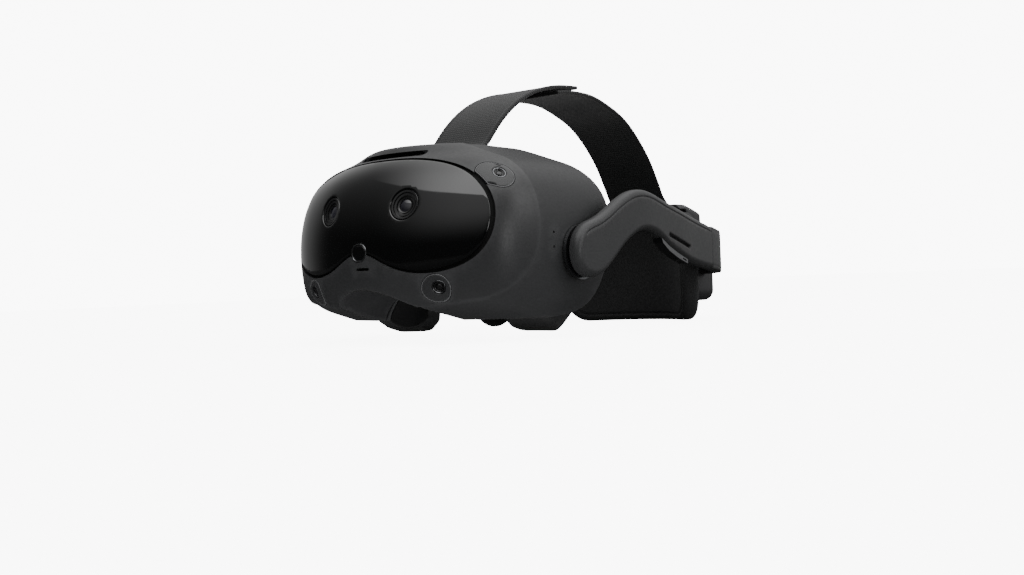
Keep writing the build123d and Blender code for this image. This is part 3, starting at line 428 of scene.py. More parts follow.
def fill(loops, step, rings=()):
    """Triangles filling the first loop less the others. Returns points, triangles, loop ids and distance to the edge."""
    loops = [np.asarray(l, float) for l in loops]
    loops = [l if (area2(l) > 0) == (i == 0) else l[::-1] for i, l in enumerate(loops)]
    pts, edges, ids = [], [], []
    for l in loops:
        k = len(pts)
        n = len(l)
        pts += [tuple(v) for v in l]
        ids.append(list(range(k, k + n)))
        edges += [(k + i, k + (i + 1) % n) for i in range(n)]
    extra = []
    for d in rings:
        for l in loops:
            extra.append(inset(l, d))
    lo, hi = loops[0].min(0), loops[0].max(0)
    ny = int((hi[1] - lo[1]) / (step * 0.866)) + 2
    grid = []
    for j in range(ny):
        xs = np.arange(lo[0] + (step / 2 if j % 2 else 0), hi[0], step)
        grid.append(np.stack([xs, np.full(len(xs), lo[1] + j * step * 0.866)], 1))
    grid = np.concatenate(grid)
    every = np.concatenate(loops)

    def clear(p, gap):
        ok = inside(p, loops[0])
        for l in loops[1:]:
            ok &= ~inside(p, l)
        p = p[ok]
        if len(p) == 0:
            return p
        dd = np.min([dist_to(p, l) for l in loops], axis=0)
        return p[dd > gap]

    keep = []
    for d, e in zip([d for d in rings for _ in loops], extra):
        keep.append(clear(e, d * 0.8))
    last = max(rings) if len(rings) else 0.0
    keep.append(clear(grid, last + step * 0.45))
    inner = np.concatenate([k for k in keep if len(k)]) if any(len(k) for k in keep) else np.zeros((0, 2))
    allp = pts + [tuple(v) for v in inner]
    res = delaunay_2d_cdt([Vector(v) for v in allp], edges, [], 0, 1e-7)
    ov, of, orig = res[0], res[2], res[3]
    ov = np.array([tuple(v) for v in ov])
    tris = np.array([f for f in of if len(f) == 3], int)
    cen = ov[tris].mean(1)
    ok = inside(cen, loops[0])
    for l in loops[1:]:
        ok &= ~inside(cen, l)
    tris = tris[ok]
    back = {}
    for i, o in enumerate(orig):
        for k in o:
            back[k] = i
    ids = [[back[i] for i in l] for l in ids]
    a, b, c = ov[tris[:, 0]], ov[tris[:, 1]], ov[tris[:, 2]]
    flip = ((b[:, 0] - a[:, 0]) * (c[:, 1] - a[:, 1]) - (b[:, 1] - a[:, 1]) * (c[:, 0] - a[:, 0])) < 0
    tris[flip] = tris[flip][:, ::-1]
    d = np.min([dist_to(ov, l) for l in loops], axis=0)
    for l in ids:
        d[l] = 0.0
    return ov, tris, ids, d


def round_off(d, r):
    """How far a rounded edge of radius r falls at distance d from the edge."""
    d = np.clip(d, 0, r)
    return r - np.sqrt(np.maximum(r * r - (r - d) ** 2, 0))


def mesh_object(name, verts, faces, mat, mirror=False, normals=None, smooth=True):
    verts = np.asarray(verts, float)
    if mirror:
        verts = verts * np.array([-1, 1, 1])
        faces = [tuple(reversed(f)) for f in faces]
    me = bpy.data.meshes.new(name)
    me.from_pydata([tuple(v) for v in to_row(verts)], [], [tuple(int(i) for i in f) for f in faces])
    me.validate()
    me.update()
    if smooth:
        me.polygons.foreach_set("use_smooth", [True] * len(me.polygons))
    if normals is not None and len(me.vertices) == len(verts):
        nn = np.asarray(normals, float)
        if mirror:
            nn = nn * np.array([-1, 1, 1])
        me.normals_split_custom_set_from_vertices([tuple(v) for v in nn])
    me.materials.append(mat)
    o = bpy.data.objects.new(name, me)
    bpy.context.collection.objects.link(o)
    return o


def slab(name, loops, step, rings, top, bottom, mat, top_normal=None, rad=0.0, mirror=False, back=True):
    """A plate: top(points, distance) and bottom(points, distance) give its two faces, walls close its edges."""
    p, tris, ids, d = fill(loops, step, rings)
    A = top(p, d)
    verts = [A]
    faces = [tuple(t) for t in tris]
    n = len(p)
    B = bottom(p, d)
    if back:
        verts.append(B)
        faces += [tuple(t[::-1] + n) for t in tris]
    off = n * (2 if back else 1)
    for l in ids:
        l = np.array(l)
        verts.append(A[l])
        verts.append(B[l])
        k = len(l)
        for i in range(k):
            j = (i + 1) % k
            faces.append((l[j], l[i], off + k + i, off + k + j))
        off += 2 * k
    V = np.concatenate(verts)
    normals = None
    if top_normal is not None:
        me = bpy.data.meshes.new("tmp")
        me.from_pydata([tuple(v) for v in V], [], faces)
        me.update()
        vn = np.zeros(len(V) * 3)
        me.vertex_normals.foreach_get("vector", vn)
        vn = vn.reshape(-1, 3)
        far = d > rad * 1.3
        vn[:n][far] = top_normal(p[far])
        normals = vn
        bpy.data.meshes.remove(me)
    return mesh_object(name, V, faces, mat, mirror, normals)


# ---------------------------------------------------------------- the visor's outer form, as in the CAD
HALF_W, Y_BACK = 96.0, 160.0
BASE = [(0, 0), (22, 1.7), (42, 6.1), (58, 11.8), (72, 18.4), (82, 25.3), (88.6, 33.5), (92.8, 44.5), (95.2, 60),
        (96, 80), (95.7, 100), (93.6, 122), (89.4, 142), (84, Y_BACK)]
LEVELS = [(10.6, 82.0, 62.0), (13.0, 85.5, 50.0), (18, 87.5, 31.0), (24, 89.8, 12.0), (32, 92.0, 1.0),
          (42, 94.0, -1.6), (56, 95.6, -2.0), (70, 96.0, -1.0), (84, 94.9, 1.8), (96, 91.6, 5.6),
          (106, 85.0, 10.4), (114, 74.8, 17.4), (120, 61.0, 27.5), (124.4, 38.0, 48.0)]
SPLIT = [(127, 53), (116, 55.5), (104, 56.5), (88, 57.8), (66, 57.5), (50, 52), (38, 41), (30, 28), (25, 14), (20, 2)]
SHIELD = [(0, 59.0), (9, 57.6), (17.5, 53.6), (28, 49.0), (45, 46.0), (64, 48.6), (75, 54.5), (81.4, 63.5), (83.6, 76.5),
          (80.6, 89.5), (70, 102.0), (50, 111.2), (27, 115.3), (0, 116.2)]
NOSE = [(-46, 0), (-45, 14), (-37, 22.5), (-24, 29.5), (-10, 33.2), (0, 34.0), (10, 33.2), (24, 29.5), (37, 22.5), (45, 14), (46, 0)]

full = np.array([(-x, y) for x, y in reversed(BASE[1:])] + BASE, float)
s_full = chords(full)
s_full -= s_full[len(BASE) - 1]
plan = natural(s_full, full)
lv = np.array(LEVELS, float)
t_lv = chords(lv[:, [1, 0]])
rise = natural(t_lv, lv)                      # height, half width, front
SS = np.linspace(0, s_full[-1], 900)
PL = plan(SS)
imax = int(np.argmax(PL[:, 0]))
TT = np.linspace(0, t_lv[-1], 900)
RT = rise(TT)


def surf(p):
    z, w, y0 = rise(np.clip(p[:, 1], 0, t_lv[-1])).T
    b = plan(p[:, 0])
    return np.stack([b[:, 0] * w / HALF_W, y0 + b[:, 1] * (Y_BACK - y0) / Y_BACK, z], 1)


def surf_normal(p, e=0.25):
    du = surf(p + [e, 0]) - surf(p - [e, 0])
    tl = np.clip(p[:, 1] - e, 0, t_lv[-1])
    th = np.clip(p[:, 1] + e, 0, t_lv[-1])
    dt = surf(np.stack([p[:, 0], th], 1)) - surf(np.stack([p[:, 0], tl], 1))
    n = np.cross(du, dt)
    return n / np.maximum(np.linalg.norm(n, axis=1, keepdims=True), 1e-12)


def at_xz(q):
    """Surface parameters of the front at (x, z)."""
    q = np.asarray(q, float)
    t = np.interp(q[:, 1], RT[:, 0], TT)
    w = rise(t)[:, 1]
    s = np.interp(np.abs(q[:, 0]) * HALF_W / w, PL[:imax, 0], SS[:imax])
    return np.stack([np.sign(q[:, 0]) * s, t], 1)


def at_yz(q, side=1.0):
    q = np.asarray(q, float)
    t = np.interp(q[:, 1], RT[:, 0], TT)
    y0 = rise(t)[:, 2]
    s = np.interp((q[:, 0] - y0) * Y_BACK / (Y_BACK - y0), PL[:, 1], SS)
    return np.stack([side * s, t], 1)


def grown(loop, d):
    """A loop in XZ moved outwards."""
    l = loop if area2(loop) > 0 else loop[::-1]
    return inset(l, -d)


def curved_plate(name, loops, step, thick, rad, mat, node, body, mirror=False):
    rings = [rad * 0.15, rad * 0.5, rad] if rad else []
    o = slab(name, loops, step, rings,
             lambda p, d: surf(p) - surf_normal(p) * round_off(d, rad)[:, None],
             lambda p, d: surf(p) - surf_normal(p) * thick,
             mat, surf_normal, rad, mirror)
    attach(o, body)
    if node:
        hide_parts(node)
    return o


shield_xz = closed_curve(SHIELD + [(-x, z) for x, z in reversed(SHIELD[1:-1])], 1.0)
shield_xz = shield_xz if area2(shield_xz) > 0 else shield_xz[::-1]
opening_xz = shield_xz.copy()
_near_side = np.clip((np.abs(shield_xz[:, 0]) - 20.0) / 40.0, 0, 1)[:, None] * np.clip((112.0 - shield_xz[:, 1]) / 14.0, 0, 1)[:, None]
shield_xz = shield_xz + (inset(shield_xz, 1.0) - shield_xz) * (0.15 + 0.95 * _near_side)


def with_window(loop, x1=6.5, zb=53.4, zt=65.0, r=5.4, hole=False):
    """The shield outline with the sensor window's cut-out taken out of it (or, for the housing, added below it)."""
    l = loop if area2(loop) > 0 else loop[::-1]
    keep = ~((np.abs(l[:, 0]) < x1 + 0.4) & (l[:, 1] < 75))
    i0 = int(np.where(keep & ~np.roll(keep, 1))[0][0])
    l = np.roll(l, -i0, axis=0)
    l = l[np.roll(keep, -i0)]
    a = np.linspace(0, np.pi / 2, 9)
    if hole:
        zl = l[-1][1]
        left = [(-x1, z) for z in np.linspace(zl, zb + r, 6)[1:]] + [(-x1 + r - r * np.cos(t), zb + r - r * np.sin(t)) for t in a[1:]]
        rightp = [(-x, z) for x, z in reversed(left)]
        mid = left + [(x, zb) for x in np.linspace(-x1 + r, x1 - r, 3)[1:-1]] + rightp
    else:
        zl = l[-1][1]
        left = [(-x1, z) for z in np.linspace(zl, zt - r, 12)[1:]] + [(-x1 + r - r * np.cos(t), zt - r + r * np.sin(t)) for t in a[1:]]
        rightp = [(-x, z) for x, z in reversed(left)]
        mid = left + [(x, zt) for x in np.linspace(-x1 + r, x1 - r, 3)[1:-1]] + rightp
    return np.concatenate([l, np.array(mid)])


# ---- front shield
cams = [at_xz(circle_loop(s * 32.0, 87.0, 9.5, 0.6)) for s in (1, -1)]
shield = curved_plate("shield_shell", [at_xz(with_window(shield_xz))] + cams, 1.6, 1.8, 0.7, MAT["shield"], "front_shield", "visor")


# ---- a black gasket at the bottom of the groove round the shield
ring_out, ring_in = grown(shield_xz, 3.4), grown(shield_xz, -2.2)
gasket_ring = curved_ring = slab("shield_gasket", [at_xz(ring_out), at_xz(ring_in)], 2.0, [],
                                 lambda p, d: surf(p) - surf_normal(p) * 1.85, lambda p, d: surf(p) - surf_normal(p) * 2.35, MAT["grille_black"])
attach(gasket_ring, "visor")


# ---- bright thin bezel round the sensor window, and the window itself
def band_ring(name, loop, width, lift, drop, mat, mirror=False):
    o = slab(name, [loop, inset(loop if area2(loop) > 0 else loop[::-1], width)], 0.6, [],
             lambda p, d: surf(p) + surf_normal(p) * (lift - 0.6 * round_off(d, width / 2))[:, None], lambda p, d: surf(p) - surf_normal(p) * drop, mat, None, 0, mirror)
    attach(o, "visor")
    return o


win = rounded_loop(-6.35, 6.35, 53.55, 64.85, 5.3, 0.5)
band_ring("window_bezel", at_xz(win), 0.85, 0.10, 1.2, MAT["ring_metal"])
glass = slab("window_glass", [at_xz(rounded_loop(-5.5, 5.5, 54.4, 64.0, 4.45, 0.5))], 0.9, [], lambda p, d: surf(p) - surf_normal(p) * 0.30, lambda p, d: surf(p) - surf_normal(p) * 1.5, MAT["window"])
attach(glass, "visor")
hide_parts("depth_window")


# ---- tracking camera covers: pebble-edged plates let into the corners of the visor
def on_form(q, n, guess):
    """Surface parameters where lines through q along n meet the form."""
    xd = np.cross([0, 0, 1.0], n)
    xd /= np.linalg.norm(xd)
    yd = np.cross(n, xd)
    p = np.tile(np.asarray(guess, float), (len(q), 1))
    for _ in range(30):
        e = surf(p) - q
        f = np.stack([e @ xd, e @ yd], 1)
        h = 0.05
        a = (surf(p + [h, 0]) - surf(p - [h, 0])) / (2 * h)
        b2 = (surf(p + [0, h]) - surf(p - [0, h])) / (2 * h)
        J = np.stack([np.stack([a @ xd, b2 @ xd], 1), np.stack([a @ yd, b2 @ yd], 1)], 1)
        p = p - np.clip(np.linalg.solve(J, f[..., None])[..., 0], -6, 6)
    return p, xd, yd


def pod(kind, centre, n, outline, shift, guess):
    n = np.array(n) / np.linalg.norm(n)
    _, xd, yd = on_form(np.array([centre]), n, guess)
    q = np.array(centre) + outline[:, :1] * xd + outline[:, 1:] * yd
    loop, _, _ = on_form(q, n, guess)
    if kind == "upper":
        edge = at_xz(grown(opening_xz, 1.5))
        hit = inside(loop, edge)
        near = np.argmin(np.linalg.norm(loop[:, None, :] - edge[None], axis=2), axis=1)
        loop[hit] = edge[near[hit]]
        keep = np.linalg.norm(loop - np.roll(loop, 1, axis=0), axis=1) > 0.12
        loop = loop[keep]
    a = np.linspace(0, 2 * np.pi, 60, endpoint=False)
    hc = np.array(centre) + shift[0] * xd + shift[1] * yd
    hole3, _, _ = on_form(hc + 4.3 * (np.cos(a)[:, None] * xd + np.sin(a)[:, None] * yd), n, guess)
    for side, mir in (("left", False), ("right", True)):
        o = slab(kind + "_cover_" + side, [loop, hole3], 1.0, [0.1, 0.35, 0.7, 1.1],
                 lambda p, d: surf(p) + surf_normal(p) * (0.12 - round_off(d, 1.0))[:, None],
                 lambda p, d: surf(p) - surf_normal(p) * 2.2, MAT["camera_cover"], None, 0, mir)
        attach(o, "visor")
        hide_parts(kind + "_camera_cover_" + side)
        ring3, _, _ = on_form(hc + 4.15 * (np.cos(a)[:, None] * xd + np.sin(a)[:, None] * yd), n, guess)
        band_ring(kind + "_lens_ring_" + side, ring3, 0.55, -0.12, 1.6, MAT["ring_metal"], mir)
        profile = [(0.0, 0.75), (0.6, 0.78), (1.2, 0.90), (1.7, 1.15), (2.0, 1.45), (2.05, 1.9), (2.9, 1.7), (2.95, 1.25), (3.6, 1.0), (3.75, 1.5)]
        ang = np.linspace(0, 2 * np.pi, 64, endpoint=False)
        rings3 = [hc[None]] + [hc + r * (np.cos(ang)[:, None] * xd + np.sin(ang)[:, None] * yd) for r, _ in profile[1:]]
        par, _, _ = on_form(np.concatenate(rings3), n, guess)
        dep = np.concatenate([[profile[0][1]]] + [np.full(64, v) for _, v in profile[1:]])
        A = surf(par) - surf_normal(par) * dep[:, None]
        last = np.arange(len(A) - 64, len(A))
        low = surf(par[last]) - surf_normal(par[last]) * 3.2
        V = np.concatenate([A, low, low.mean(0)[None]])
        F = [(0, 1 + k, 1 + (k + 1) % 64) for k in range(64)]
        for j in range(len(profile) - 2):
            for k in range(64):
                u, w2 = 1 + j * 64 + k, 1 + j * 64 + (k + 1) % 64
                F.append((u, u + 64, w2 + 64, w2))
        for k in range(64):
            j = (k + 1) % 64
            F.append((last[k], len(A) + k, len(A) + j, last[j]))
            F.append((len(A) + k, len(A) + 64, len(A) + j))
        if np.dot(np.cross(V[F[0][1]] - V[F[0][0]], V[F[0][2]] - V[F[0][0]]), n) < 0:
            F = [tuple(reversed(f)) for f in F]
        lens = mesh_object(kind + "_lens_" + side, V, F, MAT["camera_black"], mir)
        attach(lens, "visor")
        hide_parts("tracking_lenses")
        # the raised ring round each pod gets the lightened plastic: a painted highlight line along the pod's edge
        band_ring(kind + "_rim_" + side, loop, 0.55 if kind == "upper" else 0.42, 0.18, 0.8, MAT["painted_highlight_edge"], mir)


th = np.linspace(0, 2 * np.pi, 120, endpoint=False)
lower = np.stack([9.25 * np.cos(th), 9.05 * np.sin(th)], 1)
slot_half, rr, an = (24.5 - 19.0) / 2, 9.35, math.radians(-22)
cap = []
for k in range(61):
    t = -math.pi / 2 + math.pi * k / 60
    cap.append((slot_half + rr * math.cos(t), rr * math.sin(t)))
for k in range(61):
    t = math.pi / 2 + math.pi * k / 60
    cap.append((-slot_half + rr * math.cos(t), rr * math.sin(t)))
cap = np.array(cap)
cap = cap[np.linalg.norm(cap - np.roll(cap, 1, axis=0), axis=1) > 1e-6]
upper = cap @ np.array([[math.cos(an), math.sin(an)], [-math.sin(an), math.cos(an)]])
g_up = at_xz(np.array([[76.0, 101.0]]))[0]
g_lo = at_xz(np.array([[52.4, 35.2]]))[0]
pod("upper", (80.0, 36.0, 104.8), (0.62, -0.42, 0.66), upper, (2.8, 0.8), g_up)
pod("lower", (52.4, 9.0, 35.2), (0.26, -0.93, -0.26), lower, (1.8, 1.0), g_lo)


# ---- colour cameras: flat stepped rings let in flush with the shield, a domed lens in the middle
def camera_rings(side, name):
    c = np.array([side * 32.0, 87.0])
    rim = at_xz(circle_loop(c[0], c[1], 9.15, 0.5))

    def radius(p):
        q = surf(p)
        return np.hypot(q[:, 0] - c[0], q[:, 2] - c[1])

    steps = [(0.0, 3.3), (3.9, 3.3), (4.05, 2.2), (4.9, 1.9), (5.05, 2.5), (5.6, 2.4), (5.75, 1.35), (6.9, 1.15), (7.05, 1.7), (7.5, 1.6),
             (7.62, 0.62), (8.75, 0.42), (9.0, 0.62), (9.3, 1.0)]
    sr, sd = np.array(steps).T

    def top(p, d):
        return surf(p) - surf_normal(p) * np.interp(radius(p), sr, sd)[:, None]

    # points on circles, so every step is crisp
    radii = sorted(set([r for r, _ in steps[1:-1]] + [1.3, 2.6, 4.5, 6.3, 8.2]))
    pts, tris = [(c[0], c[1])], []
    n = 96
    for r in radii + [9.15]:
        pts += [(c[0] + r * math.cos(2 * math.pi * k / n), c[1] + r * math.sin(2 * math.pi * k / n)) for k in range(n)]
    m = len(radii) + 1
    P2 = at_xz(np.array(pts))
    A = top(P2, None)
    faces = [(0, 1 + k, 1 + (k + 1) % n) for k in range(n)]
    for j in range(m - 1):
        for k in range(n):
            a, b2 = 1 + j * n + k, 1 + j * n + (k + 1) % n
            faces.append((a, a + n, b2 + n, b2))
    base = len(A)
    last = np.arange(1 + (m - 1) * n, 1 + m * n)
    low = surf(P2[last]) - surf_normal(P2[last]) * 4.6
    cen = low.mean(0)
    V = np.concatenate([A, low, cen[None]])
    for k in range(n):
        j = (k + 1) % n
        faces.append((last[k], base + k, base + j, last[j]))
        faces.append((base + k, base + n, base + j))
    # outwards is towards -Y
    v0, v1, v2 = V[faces[0][0]], V[faces[0][1]], V[faces[0][2]]
    if np.cross(v1 - v0, v2 - v0)[1] > 0:
        faces = [tuple(reversed(f)) for f in faces]
    o = mesh_object(name, V, faces, MAT["camera_black"])
    sharp = o.modifiers.new("edges", "EDGE_SPLIT")
    sharp.split_angle = math.radians(32)
    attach(o, "visor")
    return o


cr = camera_rings(1, "camera_rings_left")
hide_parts("colour_camera_left")
cr = camera_rings(-1, "camera_rings_right")
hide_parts("colour_camera_right")


def camera_dome(side, name):
    c = np.array([side * 32.0, 87.0])
    n = 64
    radii = [0.6, 1.2, 1.8, 2.4, 3.0, 3.5, 3.85]
    pts = [(c[0], c[1])]
    for r in radii:
        pts += [(c[0] + r * math.cos(2 * math.pi * k / n), c[1] + r * math.sin(2 * math.pi * k / n)) for k in range(n)]
    P2 = at_xz(np.array(pts))
    q = surf(P2)
    r = np.hypot(q[:, 0] - c[0], q[:, 2] - c[1])
    depth = 2.3 + 0.45 * (r / 3.85) ** 2
    A = q - surf_normal(P2) * depth[:, None]
    faces = [(0, 1 + k, 1 + (k + 1) % n) for k in range(n)]
    m = len(radii)
    for j in range(m - 1):
        for k in range(n):
            a, b2 = 1 + j * n + k, 1 + j * n + (k + 1) % n
            faces.append((a, a + n, b2 + n, b2))
    last = np.arange(1 + (m - 1) * n, 1 + m * n)
    base = len(A)
    low = q[last] - surf_normal(P2[last]) * 4.0
    V = np.concatenate([A, low, low.mean(0)[None]])
    for k in range(n):
        j = (k + 1) % n
        faces.append((last[k], base + k, base + j, last[j]))
        faces.append((base + k, base + n, base + j))
    if np.cross(V[faces[0][1]] - V[faces[0][0]], V[faces[0][2]] - V[faces[0][0]])[1] > 0:
        faces = [tuple(reversed(f)) for f in faces]
    o = mesh_object(name, V, faces, MAT["lens_glass"])
    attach(o, "visor")
    return o


d1, d2 = camera_dome(1, "camera_lens_dome_left"), camera_dome(-1, "camera_lens_dome_right")
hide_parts("colour_lenses")
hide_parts("colour_lenses")

# ================================================================ side arms
BAND = [(106.0, 78), (106.0, 97), (105.8, 118), (105.0, 142), (103.2, 164), (100.2, 186), (96.4, 209), (92.0, 234),
        (87.8, 255), (83.9, 276), (80.2, 296), (75.6, 316), (66.2, 334.4), (50.0, 347.4), (29.6, 354.0), (0.0, 356.4)]
ARM_T = 8.6
ARM_TOP = [(80.8, 55), (83.2, 64.5), (90, 71.2), (102, 75.4), (115, 80.4), (126, 86), (136, 90.5), (147, 94.2),
           (158, 96), (170, 96), (184, 94), (199, 91), (216, 88), (234, 85), (252, 82), (274, 78.6), (297, 75)]
ARM_LOW = [(297, 41.8), (276, 43.8), (258, 46.2), (240, 49.4), (222, 54), (206, 58.5), (195, 63), (183, 67),
           (170, 68.8), (158, 67.8), (147, 64.2), (136, 58.6), (127, 52.4), (118, 46), (109, 41), (98, 39), (88, 41.6), (82.4, 47.6)]
bp_full = np.array(BAND + [(-x, y) for x, y in reversed(BAND[:-1])], float)
bs = chords(bp_full)
band_line = natural(bs, bp_full)
BSS = np.linspace(0, bs[-1], 2400)
BPL = band_line(BSS)
s_mid = bs[len(BAND) - 1]


def band_at(s, off):
    """A point of the band's plan at arc length s, off mm inwards."""
    a = band_line(s)
    d = band_line(s + 0.4) - band_line(s - 0.4)
    d /= np.linalg.norm(d, axis=1, keepdims=True)
    n = np.stack([d[:, 1], -d[:, 0]], 1)          # outwards on the +X side
    return a - n * np.asarray(off)[:, None], n


def band_s(y):
    half = BSS <= s_mid
    return np.interp(y, BPL[half, 1], BSS[half])


def on_band(p, off):
    """(arc length, height) to space, off mm below the outer face."""
    off = np.broadcast_to(np.asarray(off, float), (len(p),))
    q, n = band_at(p[:, 0], off)
    return np.stack([q[:, 0], q[:, 1], p[:, 1]], 1)


def band_normal(p):
    q, n = band_at(p[:, 0], np.zeros(len(p)))
    return np.stack([n[:, 0], n[:, 1], np.zeros(len(p))], 1)


def arm_loop(step=0.9):
    a = open_curve(ARM_LOW[1:] + ARM_TOP[:-1], step)
    b = polyline([ARM_TOP[-2], ARM_TOP[-1], ARM_LOW[0], ARM_LOW[1]], step)
    l = np.concatenate([a[:-1], b])
    return np.stack([band_s(l[:, 0]), l[:, 1]], 1)


def slot_loop(ya, za, yb, zb, w, step=0.5):
    """A round-ended slot between two points of the arm's side view."""
    a, b = np.array([ya, za]), np.array([yb, zb])
    u = (b - a) / np.linalg.norm(b - a)
    v = np.array([-u[1], u[0]])
    r = w / 2
    out = []
    k = 8
    for i in range(k + 1):
        t = math.pi * i / k
        out.append(b + r * (-v * math.cos(t) + u * math.sin(t)))
    n = int(np.linalg.norm(b - a) / step)
    out += [b + v * r + (a - b) * i / n for i in range(1, n)]
    for i in range(k + 1):
        t = math.pi * i / k
        out.append(a + r * (v * math.cos(t) - u * math.sin(t)))
    out += [a - v * r + (b - a) * i / n for i in range(1, n)]
    l = np.array(out)
    return np.stack([band_s(l[:, 0]), l[:, 1]], 1)


arm_edge = arm_loop()
top_edge = open_curve(ARM_TOP[2:], 1.0)
top_edge = np.stack([band_s(top_edge[:, 0]), top_edge[:, 1]], 1)


s_end = float(band_s(297.0))
z_end = (41.8, 75.0)


def side_distance(p, d):
    """Distance to the arm's long edges; its end runs on into the cradle and isn't rounded."""
    end = s_end - p[:, 0]
    near = end < 14.0
    up = z_end[1] - p[:, 1] + 0.18 * end
    down = p[:, 1] - z_end[0] - 0.09 * end
    return np.where(near, np.maximum(np.minimum(up, down), 0.0) * 0.985, d), end


def arm_relief(p, d):
    """Rounded rim and the fine joint below the upper edge."""
    de, end = side_distance(p, d)
    mixed = np.clip((end - 9.0) / 5.0, 0, 1)
    d0 = d
    d = np.where(end < 14.0, de * (1 - mixed) + np.minimum(d0, de) * mixed, d0)
    fall = round_off(d, 4.2) + 0.35 * round_off(np.clip(end, 0, 0.5), 0.5)
    near_top = np.min(np.linalg.norm(p[:, None, :] - top_edge[None, ::3], axis=2), axis=1)
    seam = 0.42 * np.exp(-((d - 4.9) / 0.30) ** 2) * (near_top < d + 0.9) * (d < 7)
    return fall * 1.0 + seam


for side, mir in (("left", False), ("right", True)):
    loops = [arm_edge, slot_loop(205.4, 66.6, 245.6, 58.3, 2.9)]
    o = slab("arm_shell_" + side, loops, 1.7, [0.15, 0.6, 1.3, 2.3, 3.4, 4.3, 4.65, 4.9, 5.15, 5.5],
             lambda p, d: on_band(p, np.where(dist_to(p, loops[1]) < d + 1e-6, 0.25 * round_off(np.clip(dist_to(p, loops[1]), 0, 0.8), 0.8), arm_relief(p, d))),
             lambda p, d: on_band(p, ARM_T - np.where(dist_to(p, loops[1]) < d + 1e-6, 0.0, 0.75 * round_off(d, 3.2))),
             MAT["arm_plastic"], None, 0, mir)
    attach(o, "headband")
    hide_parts("arm_" + side)

# ================================================================ rear cradle
CRADLE_TOP = [(297.4, 74.9), (310, 73.2), (322, 72.2), (340, 72.0), (362, 72.0)]
CRADLE_LOW = [(297.4, 41.8), (310, 40.6), (322, 39.4), (340, 38.2), (362, 38.0)]


def cradle_band():
    """The rear part of the headband: a strip with soft edges round the back of the head."""
    s0 = float(band_s(297.35))
    top_s, low_s = [], []
    ss = np.linspace(s0, 2 * s_mid - s0, 230)
    yy = band_line(ss)[:, 1]
    zt = natural(np.array([v[0] for v in CRADLE_TOP]), np.array([v[1] for v in CRADLE_TOP]))(yy)[:, 0]
    zl = natural(np.array([v[0] for v in CRADLE_LOW]), np.array([v[1] for v in CRADLE_LOW]))(yy)[:, 0]
    loop = np.concatenate([np.stack([ss, zl], 1), np.stack([ss, zt], 1)[::-1]])
    ends = []
    for a, b in zip(loop, np.roll(loop, -1, axis=0)):
        n = max(1, int(np.linalg.norm(b - a) / 1.6))
        ends += [a + (b - a) * k / n for k in range(n)]
    loop = np.array(ends)

    def near_edge(p):
        return np.minimum(np.interp(p[:, 0], ss, zt) - p[:, 1], p[:, 1] - np.interp(p[:, 0], ss, zl))

    o = slab("cradle_band_shell", [loop], 2.0, [0.15, 0.6, 1.3, 2.3, 3.4, 4.3],
             lambda p, d: on_band(p, round_off(np.maximum(near_edge(p), 0), 4.2) - 0.12),
             lambda p, d: on_band(p, ARM_T + 0.12 - 0.75 * round_off(np.maximum(near_edge(p), 0), 3.2)), MAT["arm_plastic"])
    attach(o, "cradle")
    return o


def relaxed(node, name, voxel, passes, body, slot_name, shape=None):
    """A moulded part with every corner softened: its solid remeshed finely and relaxed."""
    src = NODES[node]
    me = bpy.data.meshes.new(name)
    me.from_pydata([tuple(v.co) for v in src.data.vertices], [], [tuple(q.vertices) for q in src.data.polygons])
    o = bpy.data.objects.new(name, me)
    bpy.context.collection.objects.link(o)
    r = o.modifiers.new("remesh", "REMESH")
    r.mode = "VOXEL"
    r.voxel_size = voxel
    sm = o.modifiers.new("relax", "SMOOTH")
    sm.factor = 0.5
    sm.iterations = passes
    done = bpy.data.meshes.new_from_object(o.evaluated_get(bpy.context.evaluated_depsgraph_get()))
    o.modifiers.clear()
    o.data = done
    if shape is not None:
        n = len(done.vertices)
        q = np.zeros(n * 3)
        done.vertices.foreach_get("co", q)
        q = shape(q.reshape(-1, 3) * 1000.0 + np.array([0, YM, ZR]))
        done.vertices.foreach_set("co", to_row(q).ravel())
    done.polygons.foreach_set("use_smooth", [True] * len(done.polygons))
    done.materials.clear()
    done.materials.append(MAT[slot_name])
    done.update()
    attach(o, body)
    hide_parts(node)
    return o


def bump_shape(q):
    """The part over the band leans: its top falls away to the rear."""
    up_ = np.clip((q[:, 2] - 76.0) / 19.5, 0, 1)
    q[:, 2] -= up_ * np.clip(q[:, 1] - 329.0, 0, 40) * 0.26
    q[:, 1] -= up_ * np.clip(q[:, 1] - 340.0, 0, 12) * 0.15
    return q


cb = cradle_band()
cradle_soft = relaxed("rear_cradle", "cradle_moulding", 0.0009, 5, "cradle", "arm_plastic", bump_shape)
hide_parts("rear_cradle")
relaxed("battery_pack", "battery_moulding", 0.0008, 4, "battery", "battery_plastic")
relaxed("battery_latch", "latch_button", 0.0004, 4, "latch", "key_plastic", bump_shape)

